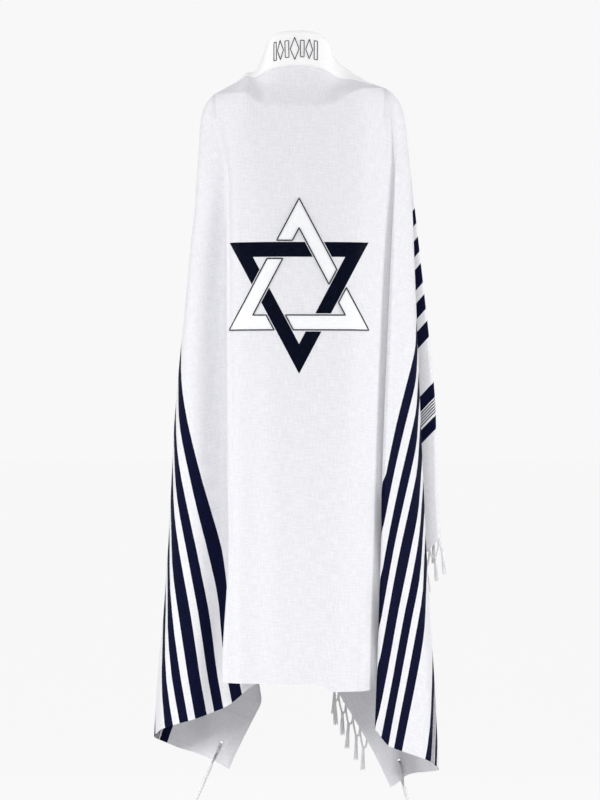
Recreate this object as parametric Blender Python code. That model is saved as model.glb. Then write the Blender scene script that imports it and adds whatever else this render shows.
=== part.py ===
"""Tallit prayer shawl, hanging open over the shoulders with nobody inside.

Lengths are in centimetres while the drape is worked out and in metres in the
meshes. +X is to the right as seen from behind, +Y is the way a wearer faces
and +Z is up. The zero point is at the base of the neck.
"""

import math
from collections import namedtuple

import bmesh
import bpy
import numpy as np
from mathutils import Vector

# Clear the scene
for old in list(bpy.data.objects):
    bpy.data.objects.remove(old, do_unlink=True)
shawl = bpy.data.collections.new("tallit_prayer_shawl")
cutters = bpy.data.collections.new("cutters")
bpy.context.scene.collection.children.link(shawl)
bpy.context.scene.collection.children.link(cutters)

# What the pieces are made of
Finish = namedtuple("Finish", "name red green blue rough")
WOOL = Finish("white_wool", 0.86, 0.86, 0.88, 0.9)
SATIN = Finish("white_satin", 0.92, 0.92, 0.93, 0.45)
NAVY = Finish("navy_thread", 0.01, 0.015, 0.06, 0.6)
THREAD = Finish("white_thread", 0.88, 0.88, 0.9, 0.7)

# The cloth as it is cut, with u along its length and v from the top edge to the hem
CLOTH_LENGTH = 190.0
CLOTH_WIDTH = 141.0
WALL = 0.11
SEAM_GAP = 0.03

# The two shoulders: how far from the middle of the cloth each one lies
SHOULDER_U = 23.5
NECK_TO_BACK = 17.5
HALF_LENGTH = CLOTH_LENGTH / 2
FRONT_DROP = HALF_LENGTH - SHOULDER_U

# The neckband
BAND_WIDTH = 7.2
BAND_THICK = 0.12

# The corner patches and their eyelets
PATCH_SIZE = 11.5
PATCH_THICK = 0.08
PATCH_GAP = 0.03
PATCH_INSET = 0.35
HOLE_IN = 4.5
HOLE_RADIUS = 0.55
CUTTER_DEPTH = 2.4

# The star on the back
STAR_CENTRE_X = 0.0
STAR_CENTRE_Z = -46.1
STAR_RADIUS = 18.4
STAR_BAND = 3.1
STAR_BREAK = 0.35
STAR_NARROW = 0.915
STAR_THICK = 0.07
STAR_LIFT = 0.085

# The fringe on the two short ends
FRINGE_LENGTH = 9.0
FRINGE_PITCH = 2.8
FRINGE_STRIP = 0.35
FRINGE_ROOT = 0.32

# The knotted corner tassels
TASSEL_HEAD = 11.0
TASSEL_STRAND = 19.0
CORD_RADIUS = 0.15

# How far down each line of the drape its rows lie, as a share of the line
ROWS = (0.0, 0.03, 0.06, 0.09, 0.12, 0.16, 0.21, 0.28, 0.38, 0.52, 0.68, 0.84, 1.0)
BACK_COLUMNS = 16
YOKE_BELOW_BAND = 3
START_ANGLE = -4.0

# Where each shoulder tip is, and how much cloth hangs from it
Shoulder = namedtuple("Shoulder", "x y z neck_v back_drop")
RIGHT = Shoulder(x=18.3, y=0.5, z=-5.2, neck_v=7.8, back_drop=126.6)
LEFT = Shoulder(x=18.3, y=0.5, z=-5.8, neck_v=12.7, back_drop=126.0)

# The lower edge seen from above, one row per bend, from the back to the front opening
Bend = namedtuple("Bend", "name out forward radius")
RIGHT_BENDS = (
    Bend("back panel", 13.0, -7.6, 0.0),
    Bend("back fold outer", 16.8, -6.8, 1.3),
    Bend("back fold inner", 16.5, -4.2, 1.2),
    Bend("hidden fold outer", 1.0, -2.6, 1.1),
    Bend("hidden fold inner", 1.3, -0.1, 1.1),
    Bend("side panel start", 19.5, -0.4, 9.0),
    Bend("side panel", 28.8, 4.4, 7.0),
    Bend("side turn", 31.4, 13.4, 3.4),
    Bend("front wave", 25.6, 17.0, 3.0),
    Bend("before corner", 22.4, 14.6, 3.0),
    Bend("corner", 20.6, 14.6, 0.0),
    Bend("front fold outer", 7.6, 15.0, 0.8),
    Bend("front fold inner", 7.8, 16.8, 0.8),
    Bend("front layer", 22.0, 18.6, 9.0),
    Bend("sliver outer", 33.2, 17.4, 0.8),
    Bend("sliver inner", 33.0, 19.2, 0.8),
    Bend("second pleat outer", 4.8, 20.8, 0.8),
    Bend("second pleat inner", 5.0, 22.6, 0.8),
    Bend("third pleat outer", 24.2, 23.0, 0.8),
    Bend("third pleat inner", 24.0, 24.8, 0.8),
    Bend("front edge", 13.3, 25.4, 0.0),
)
LEFT_BENDS = (
    Bend("back panel", 13.0, -7.6, 0.0),
    Bend("back fold outer", 16.4, -6.9, 1.3),
    Bend("back fold inner", 16.1, -4.3, 1.2),
    Bend("hidden fold outer", 4.8, -3.0, 1.1),
    Bend("hidden fold inner", 5.1, -0.5, 1.1),
    Bend("side panel start", 20.0, -0.6, 9.0),
    Bend("side panel", 29.8, 4.2, 7.0),
    Bend("side turn", 32.2, 13.4, 3.4),
    Bend("front wave", 26.2, 18.2, 3.0),
    Bend("before corner", 20.4, 14.6, 4.0),
    Bend("corner", 16.6, 15.0, 0.0),
    Bend("front fold outer", 9.4, 15.8, 0.8),
    Bend("front fold inner", 9.6, 17.6, 0.8),
    Bend("inner layer", 20.0, 19.8, 9.0),
    Bend("inner pleat outer", 30.2, 18.8, 0.8),
    Bend("inner pleat inner", 30.0, 20.6, 0.8),
    Bend("second pleat outer", 4.8, 22.0, 0.8),
    Bend("second pleat inner", 5.0, 23.8, 0.8),
    Bend("third pleat outer", 24.7, 24.2, 0.8),
    Bend("third pleat inner", 24.5, 26.0, 0.8),
    Bend("front edge", 12.3, 26.6, 0.0),
)

# Round the shoulder tip, which way each line of the drape leaves it
RING_ANGLES = (-4.0, 8.0, 14.0, 20.0, 28.0, 36.0, 47.0, 62.0, 90.0)
RING_TURNS = (-95.0, -72.0, -48.0, -18.0, 0.0, 18.0, 36.0, 66.0, 112.0)
RING_OUT = 4.7
RING_DEEP = 5.5
RING_REACH = 5.6

# Where the folds begin below the shoulder and where they are fully there
FOLD_FROM = 2.0
FOLD_FULL = 20.0

# The top edge from the nape to over the shoulder, one row per point
EdgePoint = namedtuple("EdgePoint", "u out forward up")
RIGHT_EDGE = (
    EdgePoint(0.0, 0.0, -7.2, 7.8),
    EdgePoint(4.5, 4.2, -6.4, 7.3),
    EdgePoint(9.0, 6.5, -4.4, 5.3),
    EdgePoint(14.0, 7.9, -0.4, 1.8),
    EdgePoint(18.5, 10.6, 3.0, -1.4),
    EdgePoint(23.5, 13.6, 5.2, -4.0),
)
LEFT_EDGE = (
    EdgePoint(0.0, 0.0, -7.2, 7.8),
    EdgePoint(4.5, 4.4, -6.4, 7.4),
    EdgePoint(9.0, 6.3, -4.6, 6.0),
    EdgePoint(14.0, 7.7, -0.4, 2.6),
    EdgePoint(18.5, 8.8, 4.4, 0.2),
    EdgePoint(23.5, 10.9, 8.0, -2.4),
)
RIGHT_FRONT_END = (6.0, 25.2, -73.0)
LEFT_FRONT_END = (2.4, 26.2, -73.2)


def smooth_step(low, high, value):
    share = min(max((value - low) / (high - low), 0.0), 1.0)
    return share * share * (3 - 2 * share)


def rounded_path(bends, longest=7.0):
    """The points along a path through the bends, each bend rounded to its radius."""
    corners = [np.array((bend.out, bend.forward)) for bend in bends]
    points = [corners[0]]
    for before, corner, after, bend in zip(corners, corners[1:], corners[2:], bends[1:]):
        if bend.radius == 0:
            points.append(corner)
            continue
        towards = (before - corner) / np.linalg.norm(before - corner)
        away = (after - corner) / np.linalg.norm(after - corner)
        half = math.acos(np.clip(towards @ away, -1, 1)) / 2
        reach = bend.radius / math.tan(half)
        room = 0.49 * min(np.linalg.norm(before - corner), np.linalg.norm(after - corner))
        reach = min(reach, room)
        radius = reach * math.tan(half)
        middle = towards + away
        centre = corner + middle / np.linalg.norm(middle) * radius / math.sin(half)
        first = corner + towards * reach - centre
        last = corner + away * reach - centre
        start = math.atan2(first[1], first[0])
        turn = (math.atan2(last[1], last[0]) - start + math.pi) % (2 * math.pi) - math.pi
        steps = max(2, round(abs(turn) / math.radians(34)))
        for step in range(steps + 1):
            angle = start + turn * step / steps
            points.append(centre + radius * np.array((math.cos(angle), math.sin(angle))))
    points.append(corners[-1])
    path = [points[0]]
    for point in points[1:]:
        gap = np.linalg.norm(point - path[-1])
        if gap < 0.15:
            continue
        pieces = math.ceil(gap / longest)
        start = path[-1]
        path.extend(start + (point - start) * (step + 1) / pieces for step in range(pieces))
    return np.array(path)


def hem_columns(bends, shoulder):
    """The angle at the shoulder and the plan position at the lower edge, for each column."""
    path = rounded_path(bends)
    corner_bend = next(bend for bend in bends if bend.name == "corner")
    offsets = path - np.array((corner_bend.out, corner_bend.forward))
    corner = int(np.argmin(np.linalg.norm(offsets, axis=1)))
    corner_angle = math.atan(FRONT_DROP / (CLOTH_WIDTH - shoulder.neck_v))
    angles = [math.radians(START_ANGLE)]
    for before, after in zip(path, path[1:]):
        angles.append(angles[-1] + np.linalg.norm(after - before) / reach_of(angles[-1], shoulder))
    knots = (angles[0], angles[corner], angles[-1])
    return np.interp(angles, knots, (angles[0], corner_angle, math.pi / 2)), path


def reach_of(angle, shoulder):
    """The length of the line that leaves the shoulder at this angle."""
    drop = CLOTH_WIDTH - shoulder.neck_v
    if angle > math.atan(FRONT_DROP / drop):
        return FRONT_DROP / math.sin(angle)
    eased = shoulder.back_drop + (drop - shoulder.back_drop) * smooth_step(
        math.radians(-2), math.radians(9), angle
    )
    return eased / math.cos(angle)


def fan(bends, shoulder, side):
    """The cloth that hangs from one shoulder: points[row, column] and fabric places."""
    angles, hem = hem_columns(bends, shoulder)
    tip = np.array((shoulder.x, shoulder.y))
    drop = CLOTH_WIDTH - shoulder.neck_v
    points = np.zeros((len(ROWS), len(angles), 3))
    places = np.zeros((len(ROWS), len(angles), 2))
    for column, angle in enumerate(angles):
        full = reach_of(angle, shoulder)
        turn = math.radians(np.interp(math.degrees(angle), RING_ANGLES, RING_TURNS))
        ring = np.array((RING_OUT * math.cos(turn), RING_DEEP * math.sin(turn)))
        beyond = hem[column] - tip - ring
        if angle > math.atan(FRONT_DROP / drop) + 1e-9:
            end = np.array((HALF_LENGTH, shoulder.neck_v + FRONT_DROP / math.tan(angle)))
        else:
            end = np.array((SHOULDER_U + drop * math.tan(angle), CLOTH_WIDTH))
        before = None
        for row, share in enumerate(ROWS):
            length = share * full
            fold = smooth_step(FOLD_FROM, FOLD_FULL, length) * share
            rounded = math.tanh(length / RING_REACH)
            plan = tip + ring * rounded + beyond * fold
            if before is None:
                height = shoulder.z
            else:
                step = length - before[0]
                across = np.linalg.norm(plan - before[1])
                height = before[2] - math.sqrt(max(step**2 - across**2, (0.35 * step) ** 2))
            before = (length, plan, height)
            points[row, column] = (side * plan[0], plan[1], height)
            start = np.array((SHOULDER_U, shoulder.neck_v))
            places[row, column] = start + share * (end - start)
    places[:, :, 0] *= side
    return points, places


def edge_curve(edge, side, u):
    """A point of the top edge, by its place along the cloth."""
    rows = np.array(edge)
    reach = np.concatenate((-rows[:0:-1, :1], rows[:, :1]))[:, 0]
    values = []
    for column, sign in ((1, -1), (2, 1), (3, 1)):
        track = np.concatenate((sign * rows[:0:-1, column], rows[:, column]))
        values.append(cubic(reach, track, u))
    return np.array((side * values[0], values[1], values[2]))


def cubic(places, values, place):
    """A smooth curve through the values, with slopes from their neighbours."""
    slopes = np.gradient(values, places)
    index = int(np.clip(np.searchsorted(places, place) - 1, 0, len(places) - 2))
    width = places[index + 1] - places[index]
    share = (place - places[index]) / width
    first = values[index] * (1 + 2 * share) * (1 - share) ** 2
    second = values[index + 1] * share**2 * (3 - 2 * share)
    lean = slopes[index] * share * (1 - share) ** 2 - slopes[index + 1] * share**2 * (1 - share)
    return first + second + width * lean


def back_line(share):
    """The line across the back from one shoulder tip to the other, share from -1 to 1."""
    shoulder = RIGHT if share > 0 else LEFT
    out = abs(share)
    x = shoulder.x * math.copysign(math.sin(out * math.pi / 2) * 0.35 + out * 0.65, share)
    y = -10.2 + (shoulder.y + 10.2) * out**2.6
    z = -8.2 + (shoulder.z + 8.2) * out**1.6
    return np.array((x, y, z))


def neck_to_back(share):
    shoulder = RIGHT if share > 0 else LEFT
    return NECK_TO_BACK + (shoulder.neck_v - NECK_TO_BACK) * abs(share) ** 1.6


def back_panel(right, left, right_places, left_places):
    """The panel between the two fans, joined to the first column of each."""
    shares = np.linspace(-1, 1, BACK_COLUMNS + 1)
    points = np.zeros((len(ROWS), len(shares), 3))
    places = np.zeros((len(ROWS), len(shares), 2))
    ends = (left[-1, 0], right[-1, 0])
    for column, share in enumerate(shares):
        top = back_line(share)
        mix = (share + 1) / 2
        hem = ends[0] * (1 - mix) + ends[1] * mix
        hem = hem + np.array((0.0, -2.2 * (1 - share**2) + 0.25 * math.sin(8.2 * share + 0.6), 0.0))
        near, side_points = (right, right_places) if share > 0 else (left, left_places)
        weight = abs(share) ** 2.2
        for row, down in enumerate(ROWS):
            straight = near[0, 0] * (1 - down) + near[-1, 0] * down
            bulge = np.array((0.0, -1.1 * math.sin(math.pi * down**0.6) * (1 - share**2), 0.0))
            points[row, column] = (
                top * (1 - down) + hem * down + bulge + weight * (near[row, 0] - straight)
            )
            high = neck_to_back(share)
            edge = abs(side_points[row, 0, 0])
            places[row, column] = (share * edge, high + down * (CLOTH_WIDTH - high))
    points[:, 0], points[:, -1] = left[:, 0], right[:, 0]
    places[:, 0], places[:, -1] = left_places[:, 0], right_places[:, 0]
    return points, places


def yoke(back, back_places):
    """The cloth between the top edge and the back line, with the neckband on its upper rows."""
    heights = [BAND_WIDTH * step / 3 for step in range(4)]
    count = len(heights) + YOKE_BELOW_BAND
    points = np.zeros((count, BACK_COLUMNS + 1, 3))
    places = np.zeros((count, BACK_COLUMNS + 1, 2))
    for column in range(BACK_COLUMNS + 1):
        u = back_places[0, column, 0]
        share = u / SHOULDER_U
        full = neck_to_back(share)
        side, edge = (1, RIGHT_EDGE) if u > 0 else (-1, LEFT_EDGE)
        top = edge_curve(edge, side, abs(u))
        bottom = back[0, column]
        middle = max(1 - share**2, 0.0)
        sag = np.array((-0.25 * share, 1.5 + 0.6 * abs(share), -0.8 - 0.4 * abs(share))) * middle
        for row in range(count):
            if row < len(heights):
                v = heights[row] * min(1.0, 0.94 * full / BAND_WIDTH)
            else:
                start = BAND_WIDTH * min(1.0, 0.94 * full / BAND_WIDTH)
                v = start + (full - start) * (row - len(heights) + 1) / YOKE_BELOW_BAND
            down = v / full
            points[row, column] = top * (1 - down) + bottom * down + sag * math.sin(math.pi * down)
            places[row, column] = (u, v)
    points[-1] = back[0]
    places[-1] = back_places[0]
    return points, places


def front_strip(fan_points, fan_places, yoke_points, yoke_places, end):
    """The cloth in front of the last line of a fan, out to the top edge."""
    count = len(yoke_points)
    points = np.zeros((len(ROWS), count, 3))
    places = np.zeros((len(ROWS), count, 2))
    top = yoke_points[0]
    for row, down in enumerate(ROWS):
        edge = top * (1 - down) + np.array(end) * down
        edge = edge + np.array((0.0, 1.8 * math.sin(math.pi * down) * (1 - down), 0.0))
        for column in range(count):
            v = yoke_places[column, 1]
            share = 1 - v / yoke_places[-1, 1]
            wave = 0.5 * math.sin(math.pi * share) * down
            points[row, column] = fan_points[row, -1] * (1 - share) + edge * share
            points[row, column, 1] += wave
            side = math.copysign(1, yoke_places[0, 0])
            places[row, column] = (side * (SHOULDER_U + down * FRONT_DROP), v)
    points[0], places[0] = yoke_points, yoke_places
    points[:, -1], places[:, -1] = fan_points[:, -1], fan_places[:, -1]
    return points, places


class Sheet:
    """The middle surface of the cloth as triangles, each point with its place in the fabric."""

    def __init__(self):
        self.index = {}
        self.points = []
        self.places = []
        self.triangles = []

    def point(self, position, place):
        key = tuple(np.round(position, 5))
        if key not in self.index:
            self.index[key] = len(self.points)
            self.points.append(position)
            self.places.append(place)
        return self.index[key]

    def grid(self, points, places, flipped=False):
        rows, columns = points.shape[:2]
        ids = np.array(
            [[self.point(points[i, j], places[i, j]) for j in range(columns)] for i in range(rows)]
        )
        for i in range(rows - 1):
            for j in range(columns - 1):
                loop = [ids[i, j], ids[i + 1, j], ids[i + 1, j + 1], ids[i, j + 1]]
                if flipped:
                    loop.reverse()
                self.quad(loop)
        return ids

    def quad(self, loop):
        loop = [place for spot, place in enumerate(loop) if place != loop[spot - 1]]
        if len(loop) == 3:
            self.triangles.append(tuple(loop))
            return
        a, b, c, d = (np.array(self.points[place]) for place in loop)
        if np.linalg.norm(a - c) <= np.linalg.norm(b - d):
            self.triangles += [(loop[0], loop[1], loop[2]), (loop[0], loop[2], loop[3])]
        else:
            self.triangles += [(loop[0], loop[1], loop[3]), (loop[1], loop[2], loop[3])]

    def finish(self):
        self.points = np.array(self.points)
        self.places = np.array(self.places)
        self.triangles = np.array(self.triangles)
        corners = self.points[self.triangles]
        across = np.cross(corners[:, 1] - corners[:, 0], corners[:, 2] - corners[:, 0])
        self.normals = np.zeros_like(self.points)
        for corner in range(3):
            one = corners[:, (corner + 1) % 3] - corners[:, corner]
            two = corners[:, (corner + 2) % 3] - corners[:, corner]
            size = np.linalg.norm(one, axis=1) * np.linalg.norm(two, axis=1)
            angle = np.arccos(np.clip((one * two).sum(1) / size, -1, 1))
            unit = across / np.linalg.norm(across, axis=1)[:, None]
            np.add.at(self.normals, self.triangles[:, corner], unit * angle[:, None])
        self.normals /= np.linalg.norm(self.normals, axis=1)[:, None]

    def cover(self, name, ids, lift, thick, finish):
        """A second layer over the cloth between these of its points."""
        ids = sorted(int(place) for place in ids)
        local = {place: spot for spot, place in enumerate(ids)}
        faces = [
            tuple(local[int(place)] for place in face)
            for face in self.triangles
            if all(int(place) in local for place in face)
        ]
        points, normals = self.points[ids], self.normals[ids]
        return shell(
            name, points + normals * (lift + thick), points + normals * lift, faces, finish
        )

    def cut(self, name, outlines, axes, lift, thick, finish, faces=None):
        """A second layer inside convex outlines, laid under the cloth where lift is negative."""
        points, normals, made = [], [], []
        for outline in outlines:
            limits = half_planes(outline, axes)
            for face in self.triangles if faces is None else faces:
                ring = [
                    np.concatenate((self.places[i], self.points[i], self.normals[i])) for i in face
                ]
                for weights, limit in limits:
                    ring = clip(ring, weights, limit)
                loop = []
                for corner in ring:
                    spot = self.nearest(points, corner[2:5])
                    if spot == len(points):
                        points.append(corner[2:5])
                        normals.append(corner[5:8] / np.linalg.norm(corner[5:8]))
                    if spot not in loop:
                        loop.append(spot)
                made += [(loop[0], loop[i], loop[i + 1]) for i in range(1, len(loop) - 1)]
        points, normals = np.array(points), np.array(normals)
        ends = sorted((lift, lift + math.copysign(thick, lift)))
        return shell(name, points + normals * ends[1], points + normals * ends[0], made, finish)

    @staticmethod
    def nearest(points, spot, reach=0.004):
        for place, point in enumerate(points):
            if abs(point - spot).max() < reach:
                return place
        return len(points)

    def at(self, u, v):
        """The position and the outward direction at a place in the fabric."""
        a, b, c = (self.places[self.triangles[:, corner]] for corner in range(3))
        spot = np.array((u, v))
        area = cross2(b - a, c - a)
        area = np.where(abs(area) < 1e-9, 1e9, area)
        wa = cross2(b - spot, c - spot) / area
        wb = cross2(c - spot, a - spot) / area
        wc = 1 - wa - wb
        worst = np.minimum(np.minimum(wa, wb), wc)
        best = int(np.argmax(worst))
        weights = np.array((wa[best], wb[best], wc[best]))
        corners = self.triangles[best]
        normal = weights @ self.normals[corners]
        return weights @ self.points[corners], normal / np.linalg.norm(normal)


def half_planes(outline, axes):
    """The limits of a convex outline drawn on two of a corner's eight values."""
    middle = sum(outline) / len(outline)
    limits = []
    for one, two in zip(outline, outline[1:] + outline[:1]):
        across = np.array((one[1] - two[1], two[0] - one[0])) / np.linalg.norm(two - one)
        across = across * math.copysign(1, across @ (middle - one))
        weights = np.zeros(8)
        weights[axes[0]], weights[axes[1]] = across
        limits.append((weights, across @ one))
    return limits


def clip(ring, weights, limit):
    """The part of a polygon past a limit, its values blended along each cut edge."""
    kept = []
    for before, here in zip(ring[-1:] + ring[:-1], ring):
        gap_before = before @ weights - limit
        gap_here = here @ weights - limit
        if (gap_before < 0) != (gap_here < 0):
            kept.append(before + (here - before) * gap_before / (gap_before - gap_here))
        if gap_here >= 0:
            kept.append(here)
    return kept


def cross2(one, two):
    return one[:, 0] * two[:, 1] - one[:, 1] * two[:, 0]


def new_object(name, points, faces, finish):
    mesh = bpy.data.meshes.new(name)
    mesh.from_pydata([tuple(0.01 * np.array(point)) for point in points], [], faces)
    mesh.update()
    made = bpy.data.objects.new(name, mesh)
    made.data.materials.append(painted(name, finish))
    shawl.objects.link(made)
    return made


def shell(name, outer, inner, triangles, finish):
    """A closed wall between two copies of the same surface."""
    count = len(outer)
    faces = [tuple(int(i) for i in face) for face in triangles]
    back = [tuple(i + count for i in reversed(face)) for face in faces]
    used = {}
    for face in faces:
        for one, two in zip(face, face[1:] + face[:1]):
            used[(one, two)] = True
    rim = []
    for one, two in used:
        if (two, one) not in used:
            rim.append((two, one, one + count))
            rim.append((two, one + count, two + count))
    return new_object(name, list(outer) + list(inner), faces + back + rim, finish)


def painted(name, finish):
    """A material of its own for a piece, in one of the four finishes."""
    material = bpy.data.materials.new(finish.name + "_" + name)
    material.use_nodes = True
    shader = material.node_tree.nodes["Principled BSDF"]
    shader.inputs["Base Color"].default_value = (finish.red, finish.green, finish.blue, 1)
    shader.inputs["Roughness"].default_value = finish.rough
    shader.inputs["Metallic"].default_value = 0.0
    return material


def tube(path, radii, sides, twist=0.0):
    """A closed tube along a path, its ends capped."""
    path = [np.array(point, dtype=float) for point in path]
    points, faces = [], []
    along = path[1] - path[0]
    across = np.cross(along, (0.3, 1.0, 0.2))
    for spot, (point, radius) in enumerate(zip(path, radii)):
        ahead = path[min(spot + 1, len(path) - 1)] - path[max(spot - 1, 0)]
        ahead = ahead / np.linalg.norm(ahead)
        across = across - (across @ ahead) * ahead
        across = across / np.linalg.norm(across)
        other = np.cross(ahead, across)
        for side in range(sides):
            angle = 2 * math.pi * side / sides + twist
            points.append(point + radius * (math.cos(angle) * across + math.sin(angle) * other))
    for ring in range(len(path) - 1):
        for side in range(sides):
            after = (side + 1) % sides
            a, b = ring * sides + side, ring * sides + after
            faces.append((a, b, b + sides, a + sides))
    faces.append(tuple(reversed(range(sides))))
    last = (len(path) - 1) * sides
    faces.append(tuple(range(last, last + sides)))
    return points, faces


def apply_boolean(target, cutter, operation):
    modifier = target.modifiers.new("boolean", "BOOLEAN")
    modifier.operation = operation
    modifier.solver = "EXACT"
    modifier.object = cutter
    bpy.context.view_layer.objects.active = target
    bpy.ops.object.modifier_apply(modifier=modifier.name)


# The cloth: one panel, its middle surface first
right_fan, right_places = fan(RIGHT_BENDS, RIGHT, 1)
left_fan, left_places = fan(LEFT_BENDS, LEFT, -1)
back, back_places = back_panel(right_fan, left_fan, right_places, left_places)
top, top_places = yoke(back, back_places)
right_strip, right_strip_places = front_strip(
    right_fan, right_places, top[:, -1], top_places[:, -1], RIGHT_FRONT_END
)
left_end = (-LEFT_FRONT_END[0], LEFT_FRONT_END[1], LEFT_FRONT_END[2])
left_strip, left_strip_places = front_strip(
    left_fan, left_places, top[:, 0], top_places[:, 0], left_end
)

sheet = Sheet()
sheet.grid(back, back_places)
sheet.grid(top, top_places)
right_ids = sheet.grid(right_fan, right_places)
left_ids = sheet.grid(left_fan, left_places, flipped=True)
right_strip_ids = sheet.grid(right_strip[:, ::-1], right_strip_places[:, ::-1])
left_strip_ids = sheet.grid(left_strip[:, ::-1], left_strip_places[:, ::-1], flipped=True)
sheet.finish()
cloth = shell(
    "cloth",
    sheet.points + sheet.normals * WALL / 2,
    sheet.points - sheet.normals * WALL / 2,
    sheet.triangles,
    WOOL,
)

# The neckband, made from the cloth's own points moved out
band_ids = {sheet.index[tuple(np.round(point, 5))] for point in top[:4, 1:-1].reshape(-1, 3)}
sheet.cover("atarah", band_ids, WALL / 2 + SEAM_GAP, BAND_THICK, SATIN)

# The star on the back: six bent bands that pass over and under one another
back_ids = {sheet.index[tuple(np.round(point, 5))] for point in back.reshape(-1, 3)}
back_faces = [face for face in sheet.triangles if all(int(place) in back_ids for place in face)]


def meeting(first, second):
    """Where two lines meet, each given by the angle of its normal and its distance."""
    rows = [(math.cos(math.radians(a)), math.sin(math.radians(a))) for a, _ in (first, second)]
    return np.linalg.solve(np.array(rows), np.array((first[1], second[1])))


def star_band(name, corner, finish):
    """One bent band: a long arm on one side of the corner and a short arm on the other."""
    edge = STAR_RADIUS / 2
    inner = edge - STAR_BAND
    far = (corner - 120, inner - STAR_BREAK)
    near = (corner, edge + STAR_BREAK)
    outer_line = [
        meeting((corner - 60, edge), far),
        meeting((corner - 60, edge), (corner + 60, edge)),
        meeting((corner + 60, edge), near),
    ]
    inner_line = [
        meeting((corner - 60, inner), far),
        meeting((corner - 60, inner), (corner + 60, inner)),
        meeting((corner + 60, inner), near),
    ]
    lines = [
        [
            np.array((STAR_CENTRE_X + STAR_NARROW * spot[0], STAR_CENTRE_Z + spot[1]))
            for spot in line
        ]
        for line in (outer_line, inner_line)
    ]
    outer, inner = lines
    arms = [[outer[i], outer[i + 1], inner[i + 1], inner[i]] for i in range(2)]
    return sheet.cut(name, arms, (2, 4), STAR_LIFT, STAR_THICK, finish, back_faces)


for place, angle in (("top_left", 150), ("top_right", 30), ("bottom", -90)):
    star_band("star_navy_" + place, angle, NAVY)
for place, angle in (("top", 90), ("bottom_left", 210), ("bottom_right", -30)):
    star_band("star_white_" + place, angle, SATIN)

# The corner patches on the inner face, and the eyelets through patch and cloth
CORNERS = (
    ("back_right", 1, CLOTH_WIDTH, -1),
    ("back_left", -1, CLOTH_WIDTH, -1),
    ("front_right", 1, 0.0, 1),
    ("front_left", -1, 0.0, 1),
)


def corner_patch(name, side, edge_v, inward):
    near, far = PATCH_INSET, PATCH_INSET + PATCH_SIZE
    square = [
        np.array((side * (HALF_LENGTH - u), edge_v + inward * v))
        for u, v in ((near, near), (far, near), (far, far), (near, far))
    ]
    lift = -WALL / 2 - PATCH_GAP
    return sheet.cut("corner_patch_" + name, [square], (0, 1), lift, PATCH_THICK, WOOL)


def eyelet(name, side, edge_v, inward):
    """A round cutter through the cloth and the patch."""
    centre, normal = sheet.at(side * (HALF_LENGTH - HOLE_IN), edge_v + inward * HOLE_IN)
    bpy.ops.mesh.primitive_cylinder_add(
        vertices=12,
        radius=0.01 * HOLE_RADIUS,
        depth=0.01 * CUTTER_DEPTH,
        location=0.01 * Vector(centre),
        rotation=Vector(normal).to_track_quat("Z", "Y").to_euler(),
    )
    made = bpy.context.active_object
    made.name = "cutter_" + name
    for home in list(made.users_collection):
        home.objects.unlink(made)
    cutters.objects.link(made)
    made.hide_render = True
    made.display_type = "WIRE"
    return made


for name, side, edge_v, inward in CORNERS:
    patch = corner_patch(name, side, edge_v, inward)
    cutter = eyelet(name, side, edge_v, inward)
    apply_boolean(patch, cutter, "DIFFERENCE")
    apply_boolean(cloth, cutter, "DIFFERENCE")

# The knotted corner tassels, each hung through its eyelet by a loop
Hang = namedtuple("Hang", "name side edge_v inward lean_x lean_y reach")
HANGS = (
    Hang("back_right", 1, CLOTH_WIDTH, -1, 0.30, -0.05, 5.8),
    Hang("back_left", -1, CLOTH_WIDTH, -1, -0.44, -0.05, 4.9),
    Hang("front_right", 1, 0.0, 1, 0.06, 0.04, 5.8),
    Hang("front_left", -1, 0.0, 1, -0.10, 0.03, 5.8),
)
KNOTS = (0.6, 2.6, 4.8, 7.2, 9.8)


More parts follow.
